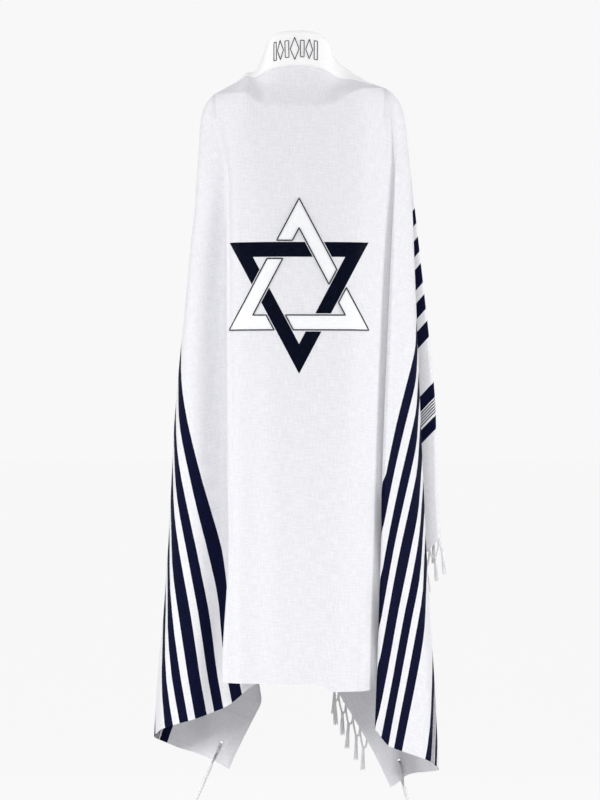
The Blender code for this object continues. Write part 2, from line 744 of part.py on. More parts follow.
def corner_tassel(hang):
    u = hang.side * (HALF_LENGTH - HOLE_IN)
    centre, normal = sheet.at(u, hang.edge_v + hang.inward * HOLE_IN)
    down = np.array((hang.lean_x, hang.lean_y, -1.0))
    down = down / np.linalg.norm(down)
    slope = down - (down @ normal) * normal
    slope = slope / np.linalg.norm(slope)
    start = centre + slope * hang.reach
    path = [start + down * (-0.35)]
    radii = [0.2]
    for knot in KNOTS:
        path.append(start + down * (knot - 0.4))
        radii.append(0.27)
        path.append(start + down * knot)
        radii.append(0.43)
        path.append(start + down * (knot + 0.4))
        radii.append(0.27)
    path.append(start + down * TASSEL_HEAD)
    radii.append(0.36)
    points, faces = tube(path, radii, 6)
    head = new_object("tzitzit_" + hang.name, points, faces, THREAD)

    threads, thread_faces = [], []

    def add(new_points, new_faces):
        first = len(threads)
        threads.extend(new_points)
        thread_faces.extend(tuple(spot + first for spot in face) for face in new_faces)

    seat = HOLE_RADIUS * math.cos(math.pi / 12) - CORD_RADIUS - SEAM_GAP
    loop = (
        start + down * 0.45 + normal * 0.2,
        start - slope * 0.5 + normal * 0.4,
        centre + slope * hang.reach * 0.5 + normal * 0.8,
        centre + slope * 0.15 + normal * 0.6,
        centre + slope * seat,
        centre + slope * 0.15 - normal * 0.65,
        centre + slope * hang.reach * 0.5 - normal * 0.8,
        start - slope * 0.5 - normal * 0.4,
        start + down * 0.45 - normal * 0.2,
    )
    add(*tube(loop, [CORD_RADIUS] * len(loop), 5))
    across = np.cross(down, (0.2, 1.0, 0.0))
    across = across / np.linalg.norm(across)
    other = np.cross(down, across)
    for strand in range(8):
        angle = 2 * math.pi * strand / 8 + 0.2
        out = math.cos(angle) * across + math.sin(angle) * other
        spread = 0.7 + 0.5 * math.sin(2.1 * strand + hang.side)
        full = TASSEL_STRAND + 0.8 * math.sin(1.7 * strand)
        line = []
        for share in (-0.04, 0.1, 0.5, 1.0):
            fall = max(share, 0.0)
            away = 0.22 + spread * fall**1.4
            sway = 0.3 * math.sin(5 * fall + strand) * fall
            settle = np.array((-hang.lean_x, -hang.lean_y, 0.0)) * fall**2 * 3.5
            line.append(
                start + down * (TASSEL_HEAD + share * full) + out * away + other * sway + settle
            )
        add(*tube(line, (0.075, 0.08, 0.08, 0.07), 3, twist=angle))
    extra = new_object("threads_" + hang.name, threads, thread_faces, THREAD)
    apply_boolean(head, extra, "UNION")
    bpy.data.objects.remove(extra, do_unlink=True)
    return head


for hang in HANGS:
    corner_tassel(hang)

# The fringe: a narrow strip along each short end with its tassels hanging from it


def fringe(name, fan_ids, strip_ids, side):
    line_ids = list(fan_ids[-1]) + list(strip_ids[-1, 1:])
    before_ids = list(fan_ids[-2]) + list(strip_ids[-2, 1:])
    rows = []
    for last, before in zip(line_ids, before_ids):
        if abs(abs(sheet.places[last][0]) - HALF_LENGTH) > 1e-6:
            continue
        away = sheet.points[last] - sheet.points[before]
        rows.append((sheet.places[last][1], last, away / np.linalg.norm(away)))
    rows.sort(key=lambda row: row[0])
    reach = np.array([row[0] for row in rows])
    places = np.array([sheet.points[row[1]] for row in rows])
    normals = np.array([sheet.normals[row[1]] for row in rows])
    aways = np.array([row[2] for row in rows])

    def along(table, v):
        return np.array([np.interp(v, reach, table[:, axis]) for axis in range(3)])

    count = int((CLOTH_WIDTH - 2 * PATCH_SIZE) / FRINGE_PITCH)
    middles = [
        PATCH_SIZE + (spot + 0.5) * (CLOTH_WIDTH - 2 * PATCH_SIZE) / count for spot in range(count)
    ]
    stations = [PATCH_SIZE + 0.2]
    roots = []
    for middle in middles:
        roots.append(len(stations))
        stations += [middle - FRINGE_ROOT / 2, middle + FRINGE_ROOT / 2]
    stations.append(CLOTH_WIDTH - PATCH_SIZE - 0.2)
    marks = sorted(stations + [v for v in reach if stations[0] < v < stations[-1]])
    kept = [marks[0]]
    for mark in marks[1:]:
        is_root = any(abs(mark - station) < 1e-9 for station in stations)
        crowded = mark - kept[-1] < 0.12
        inside = any(
            stations[root] + 1e-9 < mark < stations[root + 1] - 1e-9 for root in roots
        )
        if is_root and crowded and not any(abs(kept[-1] - s) < 1e-9 for s in stations):
            kept[-1] = mark
        elif is_root or not (crowded or inside):
            kept.append(mark)
    points, faces = [], []
    for mark in kept:
        point, normal, away = along(places, mark), along(normals, mark), along(aways, mark)
        near = point + away * SEAM_GAP * 2
        far = point + away * (SEAM_GAP * 2 + FRINGE_STRIP)
        half = normal / np.linalg.norm(normal) * WALL * 0.45
        points += [near + half, near - half, far - half, far + half]
    starts = {round(stations[root], 6) for root in roots}
    for spot in range(len(kept) - 1):
        a, b = spot * 4, spot * 4 + 4
        sides = [(0, 1), (1, 2), (2, 3), (3, 0)]
        for one, two in sides:
            if (one, two) == (2, 3) and round(kept[spot], 6) in starts:
                ring = [a + 2, a + 3, b + 3, b + 2]
                strand_rings(points, faces, ring, kept[spot], along(aways, kept[spot]))
            else:
                faces.append((a + one, a + two, b + two, b + one))
    faces.append((3, 2, 1, 0))
    last = 4 * (len(kept) - 1)
    faces.append((last, last + 1, last + 2, last + 3))
    made = new_object(name, points, faces, THREAD)
    mesh = bmesh.new()
    mesh.from_mesh(made.data)
    bmesh.ops.recalc_face_normals(mesh, faces=mesh.faces[:])
    mesh.to_mesh(made.data)
    mesh.free()
    return made


def strand_rings(points, faces, ring, seed, away):
    """One tassel: the root opens into a knot, then narrows to its end."""
    root = [points[spot] for spot in ring]
    centre = sum(root) / 4
    frame = [spot - centre for spot in root]
    long_side = (frame[0] + frame[1]) / 2
    short_side = (frame[1] + frame[2]) / 2
    long_side = long_side / np.linalg.norm(long_side)
    short_side = short_side / np.linalg.norm(short_side)
    fall = np.array((0.10 * math.sin(7.3 * seed), 0.10 * math.sin(5.1 * seed + 1), -1.0))
    fall = fall / np.linalg.norm(fall)
    length = FRINGE_LENGTH + 0.6 * math.sin(3.7 * seed)
    before = ring
    for share, wide in ((0.12, 0.21), (0.25, 0.13), (1.0, 0.14)):
        mix = min(share * 5, 1.0)
        middle = centre + (away * (1 - mix) + fall * mix) * share * length
        here = [len(points) + spot for spot in range(4)]
        signs = [(np.sign(spot @ long_side), np.sign(spot @ short_side)) for spot in frame]
        for one, two in signs:
            points.append(middle + wide * (one * long_side + two * short_side) * 0.8)
        for spot in range(4):
            after = (spot + 1) % 4
            faces.append((before[spot], before[after], here[after], here[spot]))
        before = here
    faces.append(tuple(before))


fringe("fringe_right", right_ids, right_strip_ids, 1)
fringe("fringe_left", left_ids, left_strip_ids, -1)
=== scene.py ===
import math
import random
from collections import namedtuple

import bpy
import numpy as np
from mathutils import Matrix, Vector
from mathutils.bvhtree import BVHTree


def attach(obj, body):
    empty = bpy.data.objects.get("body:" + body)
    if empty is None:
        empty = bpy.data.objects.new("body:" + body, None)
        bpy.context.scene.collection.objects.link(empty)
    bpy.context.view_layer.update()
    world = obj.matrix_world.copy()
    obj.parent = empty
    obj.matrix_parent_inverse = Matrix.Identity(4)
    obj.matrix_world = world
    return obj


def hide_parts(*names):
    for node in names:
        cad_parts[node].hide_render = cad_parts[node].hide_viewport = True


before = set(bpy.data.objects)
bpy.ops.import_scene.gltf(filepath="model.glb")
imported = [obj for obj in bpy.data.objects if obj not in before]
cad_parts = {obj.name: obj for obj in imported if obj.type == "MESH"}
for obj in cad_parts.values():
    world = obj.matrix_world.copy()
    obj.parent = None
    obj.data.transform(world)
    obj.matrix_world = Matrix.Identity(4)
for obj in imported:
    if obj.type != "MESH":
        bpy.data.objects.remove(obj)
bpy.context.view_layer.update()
bpy.ops.object.select_all(action="DESELECT")
print("frame loaded:", len(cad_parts), "nodes")

# Camera, at the photo's angle: level, square to the back, far off with a long lens
view = {"place": (0.002, -7.11, -0.70), "aim": (0.002, 0.0, -0.70), "lens": 150.4, "sensor": 36.0}


def aimed(place, aim):
    # The rotation that turns a camera or a lamp from its place to its aim
    return (Vector(aim) - Vector(place)).to_track_quat("-Z", "Y").to_euler()


def addCamera():
    bpy.ops.object.camera_add(location=view["place"], rotation=aimed(view["place"], view["aim"]))
    camera = bpy.context.active_object
    camera.data.lens = view["lens"]
    camera.data.sensor_width = view["sensor"]
    bpy.context.scene.camera = camera


addCamera()


# Materials. Colours are sRGB hex, turned to linear here
def linear(code):
    channels = [int(code[spot:spot + 2], 16) / 255 for spot in (1, 3, 5)]
    return tuple(c / 12.92 if c < 0.04045 else ((c + 0.055) / 1.055) ** 2.4 for c in channels) + (1,)


def setSockets(tree, node, sockets):
    for name, value in sockets.items():
        if isinstance(value, bpy.types.NodeSocket):
            tree.links.new(value, node.inputs[name])
        else:
            node.inputs[name].default_value = value


def addNode(tree, kind, sockets, **settings):
    node = tree.nodes.new("ShaderNode" + kind)
    for name, value in settings.items():
        setattr(node, name, value)
    setSockets(tree, node, sockets)
    return node


def newMaterial(name):
    material = bpy.data.materials.new(name)
    material.use_nodes = True
    tree = material.node_tree
    tree.nodes.clear()
    surface = addNode(tree, "BsdfPrincipled", {})
    addNode(tree, "OutputMaterial", {"Surface": surface.outputs[0]})
    return material, tree, surface


def maths(tree, operation, *values):
    return addNode(tree, "Math", dict(enumerate(values)), operation=operation).outputs[0]


def mixed(tree, share, low, high):
    return addNode(tree, "Mix", {0: share, 6: low, 7: high}, data_type="RGBA").outputs[2]


def bumped(tree, height, strength, distance):
    sockets = {"Height": height, "Strength": strength, "Distance": distance}
    return addNode(tree, "Bump", sockets).outputs[0]


def spreadOut(tree, value, low, high):
    # The value's range from low to high, as 0 to 1
    sockets = {"Value": value, "From Min": low, "From Max": high}
    return addNode(tree, "MapRange", sockets).outputs[0]


# Lengths in centimetres, thread and slub sizes in millimetres, arcStep in degrees
cloth = {
    "length": 190.0, "width": 141.0, "wall": 0.06,
    "shoulderU": 23.5, "neckToBack": 17.5,
    "arcStep": 12.0, "longest": 1.7, "rows": 62, "hemRows": (0.9895, 0.9925),
    "backColumns": 40, "bandRows": 8, "yokeRows": 9,
    "white": "#EFEFF2", "shade": "#E1E1E6", "navy": "#04061A", "navyShade": "#0E1234",
    "thread": 1.7, "slubLong": 26.0, "slubWide": 2.6, "barsWithin": 60.0,
}

# The woven bars, each by its distance from the short end and its width, in centimetres
Bar = namedtuple("Bar", "start width")
bars = [Bar(17.5, 2.1)]
bars += [Bar(19.95 + 0.5 * line, 0.24) for line in range(6)]
bars += [Bar(22.7, 2.1)]
bars += [Bar(32.1, 2.4), Bar(36.55, 2.2), Bar(40.75, 2.9), Bar(45.65, 2.2), Bar(50.1, 2.2)]


def stripedWool():
    # Fine wool, plain woven with slubby thread: matt, with short pale streaks both ways
    material, tree, surface = newMaterial("plain_woven_wool")
    uv = addNode(tree, "UVMap", {}, uv_map="fabric").outputs[0]
    along, across, _ = addNode(tree, "SeparateXYZ", {0: uv}).outputs
    half, reach = cloth["length"] / 2, cloth["barsWithin"]
    fromMiddle = maths(tree, "MULTIPLY_ADD", along, cloth["length"], -half)
    fromEnd = maths(tree, "SUBTRACT", half, maths(tree, "ABSOLUTE", fromMiddle))
    ramp = addNode(tree, "ValToRGB", {0: maths(tree, "DIVIDE", fromEnd, reach)})
    ramp.color_ramp.interpolation = "CONSTANT"
    ramp.color_ramp.elements[0].color = (0, 0, 0, 1)
    ramp.color_ramp.elements[1].position = 1.0
    ramp.color_ramp.elements[1].color = (0, 0, 0, 1)
    for bar in bars:
        ramp.color_ramp.elements.new(bar.start / reach).color = (1, 1, 1, 1)
        ramp.color_ramp.elements.new((bar.start + bar.width) / reach).color = (0, 0, 0, 1)
    # Slubs: 2.6 mm wide, wider than real 0.6 mm thread, or they would not show
    fine, coarse = 10 / cloth["slubWide"], 10 / cloth["slubLong"]
    slubs = []
    for scaleU, scaleV in ((fine, coarse), (coarse, fine)):
        size = (cloth["length"] * scaleU, cloth["width"] * scaleV, 1)
        place = addNode(tree, "Mapping", {"Vector": uv, "Scale": size}).outputs[0]
        noise = {"Vector": place, "Scale": 1.0, "Detail": 3.0, "Roughness": 0.6}
        slubs.append(addNode(tree, "TexNoise", noise).outputs[0])
    both = maths(tree, "ADD", *slubs)
    streak = spreadOut(tree, both, 0.72, 1.24)
    white = mixed(tree, streak, linear(cloth["shade"]), linear(cloth["white"]))
    navy = mixed(tree, streak, linear(cloth["navy"]), linear(cloth["navyShade"]))
    # The plain weave's over and under, at 1.7 mm a thread so that a close view holds it
    turns = 2 * math.pi * 10 / cloth["thread"] / 2
    waves = [
        maths(tree, "SINE", maths(tree, "MULTIPLY", part, full * turns))
        for part, full in ((along, cloth["length"]), (across, cloth["width"]))
    ]
    height = maths(tree, "MULTIPLY_ADD", maths(tree, "MULTIPLY", *waves), 0.18, both)
    setSockets(tree, surface, {
        "Base Color": mixed(tree, ramp.outputs[0], white, navy),
        "Normal": bumped(tree, height, 0.55, 0.0006), "Roughness": 0.9,
        "Specular IOR Level": 0.08, "Sheen Weight": 0.02, "Sheen Roughness": 0.45,
    })
    return material


def satin(name, light, dark, threadWidth, rough, rowWide):
    # Satin stitch or satin ribbon: long floats side by side, smooth, with little gloss.
    # Stitched satin lies in rows, and its colour is painted darker where two rows meet: painted shade
    # in the groove between them
    material, tree, surface = newMaterial(name)
    uv = addNode(tree, "UVMap", {}, uv_map="stitch").outputs[0]
    place = addNode(tree, "Mapping", {"Vector": uv, "Scale": (1000 / threadWidth, 60, 1)})
    floats = {"Vector": place.outputs[0], "Scale": 1.0, "Detail": 2.0}
    noise = addNode(tree, "TexNoise", floats).outputs[0]
    spread = spreadOut(tree, noise, 0.3, 0.7)
    if rowWide:
        across = addNode(tree, "SeparateXYZ", {0: uv}).outputs[0]
        wave = maths(tree, "SINE", maths(tree, "MULTIPLY", across, math.pi * 1000 / rowWide))
        # Painted shade: the stitch colour darkens towards each groove where two rows of stitches meet
        grooveShade = maths(tree, "POWER", maths(tree, "ABSOLUTE", wave), 0.6)
        spread = maths(tree, "MULTIPLY", spread, grooveShade)
    setSockets(tree, surface, {
        "Base Color": mixed(tree, spread, linear(dark), linear(light)),
        "Normal": bumped(tree, noise, 0.5, 0.0004), "Roughness": rough, "Specular IOR Level": 0.04,
    })
    return material


def yarn(name, light, dark):
    # Twisted wool yarn: matt and soft, with a darker tone mixed in at random in spots a few millimetres
    # across
    material, tree, surface = newMaterial(name)
    place = addNode(tree, "TexCoord", {}).outputs["Object"]
    noise = addNode(tree, "TexNoise", {"Vector": place, "Scale": 420.0, "Detail": 3.0}).outputs[0]
    setSockets(tree, surface, {
        "Base Color": mixed(tree, noise, linear(dark), linear(light)),
        "Normal": bumped(tree, noise, 0.5, 0.0005), "Roughness": 0.8,
        "Specular IOR Level": 0.3, "Sheen Weight": 0.3, "Sheen Roughness": 0.4,
    })
    return material


woolCloth = stripedWool()
stitchRows, starBand = 8, 3.1  # rows of stitches across each band of the star, and its width
rowWide = 10 * starBand / stitchRows
navyStitch = satin("rayon_satin_stitch_navy", "#0A122C", "#000105", 1.6, 0.5, rowWide)
whiteStitch = satin("rayon_satin_stitch_white", "#FFFFFF", "#F2F3F7", 1.6, 0.45, rowWide)
ribbon = satin("woven_satin_ribbon_white", "#FFFFFF", "#F3F3F5", 0.8, 0.4, 0)
woolYarn = yarn("twisted_wool_yarn_white", "#FFFFFF", "#DDDEE2")
sewingThread = yarn("spun_cotton_thread_white", "#FFFFFF", "#D6D7DD")
navyThread = yarn("spun_rayon_thread_navy", "#0B1028", "#030510")
print("materials made")

# The drape: how the cloth falls from the two shoulders
Shoulder = namedtuple("Shoulder", "x y z neckV backDrop")
rightShoulder = Shoulder(18.3, 0.5, -5.2, 7.8, 126.6)
leftShoulder = Shoulder(18.3, 0.5, -5.8, 12.7, 126.0)

# The lower edge seen from above, from the back to the front opening
Bend = namedtuple("Bend", "name out forward radius")
rightBends = (
    Bend("back panel", 13.0, -7.6, 0.0),
    Bend("behind the side", 17.6, -1.8, 3.0),
    Bend("hidden fold outer", 27.6, 6.8, 0.7),
    Bend("hidden fold inner", 28.3, 5.6, 0.7),
    Bend("side edge inner", 16.0, -4.6, 0.8),
    Bend("side edge outer", 16.2, -6.2, 0.8),
    Bend("side panel start", 22.0, -1.4, 9.0),
    Bend("side panel", 28.8, 4.4, 7.0),
    Bend("side turn", 31.4, 13.4, 3.4),
    Bend("front wave", 25.6, 17.0, 3.0),
    Bend("before corner", 22.4, 14.6, 3.0),
    Bend("corner", 20.6, 14.6, 0.0),
    Bend("front fold outer", 7.6, 15.0, 0.8),
    Bend("front fold inner", 7.8, 16.8, 0.8),
    Bend("front layer", 22.0, 18.6, 9.0),
    Bend("sliver outer", 33.2, 17.4, 0.8),
    Bend("sliver inner", 33.0, 19.2, 0.8),
    Bend("second pleat outer", 4.8, 20.8, 0.8),
    Bend("second pleat inner", 5.0, 22.6, 0.8),
    Bend("third pleat outer", 24.2, 23.0, 0.8),
    Bend("third pleat inner", 24.0, 24.8, 0.8),
    Bend("front edge", 13.3, 25.4, 0.0),
)
leftBends = (
    Bend("back panel", 13.0, -7.6, 0.0),
    Bend("back fold outer", 16.4, -6.9, 1.3),
    Bend("back fold inner", 16.1, -4.3, 1.2),
    Bend("hidden fold outer", 4.8, -3.0, 1.1),
    Bend("hidden fold inner", 5.1, -0.5, 1.1),
    Bend("side panel start", 20.0, -0.6, 9.0),
    Bend("side panel", 29.8, 4.2, 7.0),
    Bend("side turn", 32.2, 13.4, 3.4),
    Bend("front wave", 26.2, 18.2, 3.0),
    Bend("before corner", 20.4, 14.6, 4.0),
    Bend("corner", 16.6, 15.0, 0.0),
    Bend("front fold outer", 9.4, 15.8, 0.8),
    Bend("front fold inner", 9.6, 17.6, 0.8),
    Bend("inner layer", 20.0, 19.8, 9.0),
    Bend("inner pleat outer", 30.2, 18.8, 0.8),
    Bend("inner pleat inner", 30.0, 20.6, 0.8),
    Bend("second pleat outer", 4.8, 22.0, 0.8),
    Bend("second pleat inner", 5.0, 23.8, 0.8),
    Bend("third pleat outer", 24.7, 24.2, 0.8),
    Bend("third pleat inner", 24.5, 26.0, 0.8),
    Bend("front edge", 12.3, 26.6, 0.0),
)

# Round a shoulder tip: the way each line of the drape leaves it, in degrees
ring = {
    "angles": (-4.0, 8.0, 14.0, 20.0, 28.0, 36.0, 47.0, 62.0, 90.0),
    "turns": (-95.0, -72.0, -48.0, -18.0, 0.0, 18.0, 36.0, 66.0, 112.0),
    "out": 4.7, "deep": 5.5, "reach": 5.6, "foldFrom": 2.0, "foldFull": 20.0, "startAngle": -4.0,
}

# The top edge from the nape to over the shoulder
EdgePoint = namedtuple("EdgePoint", "u out forward up")
rightEdge = (
    EdgePoint(0.0, 0.0, -7.2, 7.8),
    EdgePoint(4.5, 4.2, -6.4, 7.3),
    EdgePoint(9.0, 6.5, -4.4, 5.3),
    EdgePoint(14.0, 7.9, -0.4, 1.8),
    EdgePoint(18.5, 10.6, 3.0, -1.4),
    EdgePoint(23.5, 13.6, 5.2, -4.0),
)
leftEdge = (
    EdgePoint(0.0, 0.0, -7.2, 7.8),
    EdgePoint(4.5, 4.4, -6.4, 7.4),
    EdgePoint(9.0, 6.3, -4.6, 6.0),
    EdgePoint(14.0, 7.7, -0.4, 2.6),
    EdgePoint(18.5, 8.8, 4.4, 0.2),
    EdgePoint(23.5, 10.9, 8.0, -2.4),
)
rightFrontEnd = (6.0, 25.2, -73.0)
leftFrontEnd = (-2.4, 26.2, -73.2)

halfLength = cloth["length"] / 2
frontDrop = halfLength - cloth["shoulderU"]
bandWidth = 7.2
rowShares = [(spot / cloth["rows"]) ** 1.5 for spot in range(cloth["rows"])]
rowShares = [share for share in rowShares if share < 0.982] + list(cloth["hemRows"]) + [1.0]


def smoothStep(low, high, value):
    share = min(max((value - low) / (high - low), 0.0), 1.0)
    return share * share * (3 - 2 * share)


def unit(vector):
    return vector / np.linalg.norm(vector)


def runAlong(path):
    # How far along a path each of its points is
    return np.concatenate(([0], np.cumsum(np.linalg.norm(np.diff(path, axis=0), axis=1))))


def columnAt(path, bends, name):
    # The step of the path nearest to the named bend
    bend = next(bend for bend in bends if bend.name == name)
    return int(np.argmin(np.linalg.norm(path - np.array((bend.out, bend.forward)), axis=1)))


def roundedPath(bends):
    # The path through the bends, each rounded to its radius
    corners = [np.array((bend.out, bend.forward)) for bend in bends]
    points = [corners[0]]
    for before, corner, after, bend in zip(corners, corners[1:], corners[2:], bends[1:]):
        if bend.radius == 0:
            points.append(corner)
            continue
        towards, away = unit(before - corner), unit(after - corner)
        half = math.acos(np.clip(towards @ away, -1, 1)) / 2
        room = 0.49 * min(np.linalg.norm(before - corner), np.linalg.norm(after - corner))
        reach = min(bend.radius / math.tan(half), room)
        radius = reach * math.tan(half)
        centre = corner + unit(towards + away) * radius / math.sin(half)
        first = corner + towards * reach - centre
        last = corner + away * reach - centre
        start = math.atan2(first[1], first[0])
        turn = (math.atan2(last[1], last[0]) - start + math.pi) % (2 * math.pi) - math.pi
        steps = max(2, round(abs(turn) / math.radians(cloth["arcStep"])))
        for step in range(steps + 1):
            angle = start + turn * step / steps
            points.append(centre + radius * np.array((math.cos(angle), math.sin(angle))))
    points.append(corners[-1])
    path = [points[0]]
    for point in points[1:]:
        gap = np.linalg.norm(point - path[-1])
        if gap < 0.05:
            continue
        pieces = math.ceil(gap / cloth["longest"])
        start = path[-1]
        path.extend(start + (point - start) * (step + 1) / pieces for step in range(pieces))
    return np.array(path)


def reachOf(angle, shoulder):
    # The length of the line that leaves the shoulder at this angle
    drop = cloth["width"] - shoulder.neckV
    if angle > math.atan(frontDrop / drop):
        return frontDrop / math.sin(angle)
    settled = smoothStep(math.radians(-2), math.radians(9), angle)
    return (shoulder.backDrop + (drop - shoulder.backDrop) * settled) / math.cos(angle)


def hemColumns(bends, shoulder):
    path = roundedPath(bends)
    corner = columnAt(path, bends, "corner")
    cornerAngle = math.atan(frontDrop / (cloth["width"] - shoulder.neckV))
    angles = [math.radians(ring["startAngle"])]
    for before, after in zip(path, path[1:]):
        angles.append(angles[-1] + np.linalg.norm(after - before) / reachOf(angles[-1], shoulder))
    knots = (angles[0], angles[corner], angles[-1])
    return np.interp(angles, knots, (angles[0], cornerAngle, math.pi / 2)), path


# The hollow beside the left back fold, where the side panel lies deeper than the back.
# It starts and is full that far down, fades out towards the front, and grows over some columns
valley = {
    "out": 17.8, "wide": 3.4, "deep": 3.4, "from": 12.0, "full": 40.0,
    "frontEnd": 8.0, "frontFull": 4.0, "columns": 6,
}


def fan(bends, shoulder, side):
    # The cloth that hangs from one shoulder, as rows down the lines of the drape
    angles, hem = hemColumns(bends, shoulder)
    sideStart = columnAt(hem, bends, "hidden fold inner")
    tip = np.array((shoulder.x, shoulder.y))
    drop = cloth["width"] - shoulder.neckV
    points = np.zeros((len(rowShares), len(angles), 3))
    places = np.zeros((len(rowShares), len(angles), 2))
    for column, angle in enumerate(angles):
        full = reachOf(angle, shoulder)
        turn = math.radians(np.interp(math.degrees(angle), ring["angles"], ring["turns"]))
        around = np.array((ring["out"] * math.cos(turn), ring["deep"] * math.sin(turn)))
        beyond = hem[column] - tip - around
        start = np.array((cloth["shoulderU"], shoulder.neckV))
        if angle > math.atan(frontDrop / drop) + 1e-9:
            end = np.array((halfLength, shoulder.neckV + frontDrop / math.tan(angle)))
        else:
            end = np.array((cloth["shoulderU"] + drop * math.tan(angle), cloth["width"]))
        before = None
        for row, share in enumerate(rowShares):
            length = share * full
            fold = smoothStep(ring["foldFrom"], ring["foldFull"], length) * share
            plan = tip + around * math.tanh(length / ring["reach"]) + beyond * fold
            if side < 0 and column > sideStart and plan[1] < valley["frontEnd"]:
                near = math.exp(-(((plan[0] - valley["out"]) / valley["wide"]) ** 2))
                sunk = valley["deep"] * near * smoothStep(valley["from"], valley["full"], length)
                grown = min(1.0, (column - sideStart) / valley["columns"])
                fade = smoothStep(valley["frontEnd"], valley["frontFull"], plan[1])
                plan = plan + np.array((0.0, sunk * grown * fade))
            height = shoulder.z
            if before is not None:
                step = length - before[0]
                across = np.linalg.norm(plan - before[1])
                height = before[2] - math.sqrt(max(step**2 - across**2, (0.35 * step) ** 2))
            before = (length, plan, height)
            points[row, column] = (side * plan[0], plan[1], height)
            places[row, column] = start + share * (end - start)
    places[:, :, 0] *= side
    return points, places


def cubic(places, values, place):
    # A smooth curve through the values, with slopes from their neighbours
    slopes = np.gradient(values, places)
    index = int(np.clip(np.searchsorted(places, place) - 1, 0, len(places) - 2))
    width = places[index + 1] - places[index]
    share = (place - places[index]) / width
    first = values[index] * (1 + 2 * share) * (1 - share) ** 2
    second = values[index + 1] * share**2 * (3 - 2 * share)
    lean = slopes[index] * share * (1 - share) ** 2 - slopes[index + 1] * share**2 * (1 - share)
    return first + second + width * lean


def edgeCurve(edge, side, u):
    rows = np.array(edge)
    reach = np.concatenate((-rows[:0:-1, 0], rows[:, 0]))
    values = []
    for column, sign in ((1, -1), (2, 1), (3, 1)):
        track = np.concatenate((sign * rows[:0:-1, column], rows[:, column]))
        values.append(cubic(reach, track, u))
    return np.array((side * values[0], values[1], values[2]))


def backLine(share):
    # The line across the back from one shoulder tip to the other
    shoulder = rightShoulder if share > 0 else leftShoulder
    out = abs(share)
    x = shoulder.x * math.copysign(math.sin(out * math.pi / 2) * 0.35 + out * 0.65, share)
    y = -10.2 + (shoulder.y + 10.2) * out**2.6
    z = -8.2 + (shoulder.z + 8.2) * out**1.6
    return np.array((x, y, z))


def neckToBack(share):
    shoulder = rightShoulder if share > 0 else leftShoulder
    return cloth["neckToBack"] + (shoulder.neckV - cloth["neckToBack"]) * abs(share) ** 1.6


def backPanel(right, left, rightPlaces, leftPlaces):
    shares = np.linspace(-1, 1, cloth["backColumns"] + 1)
    points = np.zeros((len(rowShares), len(shares), 3))
    places = np.zeros((len(rowShares), len(shares), 2))
    for column, share in enumerate(shares):
        top = backLine(share)
        mix = (share + 1) / 2
        hem = left[-1, 0] * (1 - mix) + right[-1, 0] * mix
        hem = hem + np.array((0.0, -2.2 * (1 - share**2) + 0.25 * math.sin(8.2 * share + 0.6), 0.0))
        near, nearPlaces = (right, rightPlaces) if share > 0 else (left, leftPlaces)
        weight = abs(share) ** 2.2
        high = neckToBack(share)
        for row, down in enumerate(rowShares):
            straight = near[0, 0] * (1 - down) + near[-1, 0] * down
            bulge = np.array((0.0, -1.1 * math.sin(math.pi * down**0.6) * (1 - share**2), 0.0))
            lean = weight * (near[row, 0] - straight)
            points[row, column] = top * (1 - down) + hem * down + bulge + lean
            edge = abs(nearPlaces[row, 0, 0])
            places[row, column] = (share * edge, high + down * (cloth["width"] - high))
    points[:, 0], points[:, -1] = left[:, 0], right[:, 0]
    places[:, 0], places[:, -1] = leftPlaces[:, 0], rightPlaces[:, 0]
    return points, places


def yoke(back, backPlaces):
    # From the top edge to the line across the back
    heights = [bandWidth * step / cloth["bandRows"] for step in range(cloth["bandRows"] + 1)]
    count = len(heights) + cloth["yokeRows"]
    points = np.zeros((count, back.shape[1], 3))
    places = np.zeros((count, back.shape[1], 2))
    for column in range(back.shape[1]):
        u = backPlaces[0, column, 0]
        share = u / cloth["shoulderU"]
        full = neckToBack(share)
        side, edge = (1, rightEdge) if u > 0 else (-1, leftEdge)
        top = edgeCurve(edge, side, abs(u))
        bottom = back[0, column]
        middle = max(1 - share**2, 0.0)
        sag = np.array((-0.25 * share, 1.5 + 0.6 * abs(share), -0.8 - 0.4 * abs(share))) * middle
        for row in range(count):
            if row < len(heights):
                v = heights[row]
            else:
                v = bandWidth + (full - bandWidth) * (row - len(heights) + 1) / cloth["yokeRows"]
            down = v / full
            points[row, column] = top * (1 - down) + bottom * down + sag * math.sin(math.pi * down)
            places[row, column] = (u, v)
    points[-1], places[-1] = back[0], backPlaces[0]
    return points, places


def frontStrip(fanPoints, fanPlaces, yokePoints, yokePlaces, end):
    # In front of the last line of a fan, out to the top edge
    count = len(yokePoints)
    points = np.zeros((len(rowShares), count, 3))
    places = np.zeros((len(rowShares), count, 2))
    side = math.copysign(1, yokePlaces[0, 0])
    for row, down in enumerate(rowShares):
        edge = yokePoints[0] * (1 - down) + np.array(end) * down
        edge = edge + np.array((0.0, 1.8 * math.sin(math.pi * down) * (1 - down), 0.0))
        for column in range(count):
            v = yokePlaces[column, 1]
            share = 1 - v / yokePlaces[-1, 1]
            points[row, column] = fanPoints[row, -1] * (1 - share) + edge * share
            points[row, column, 1] += 0.5 * math.sin(math.pi * share) * down
            places[row, column] = (side * (cloth["shoulderU"] + down * frontDrop), v)
    points[0], places[0] = yokePoints, yokePlaces
    points[:, -1], places[:, -1] = fanPoints[:, -1], fanPlaces[:, -1]
    return points, places


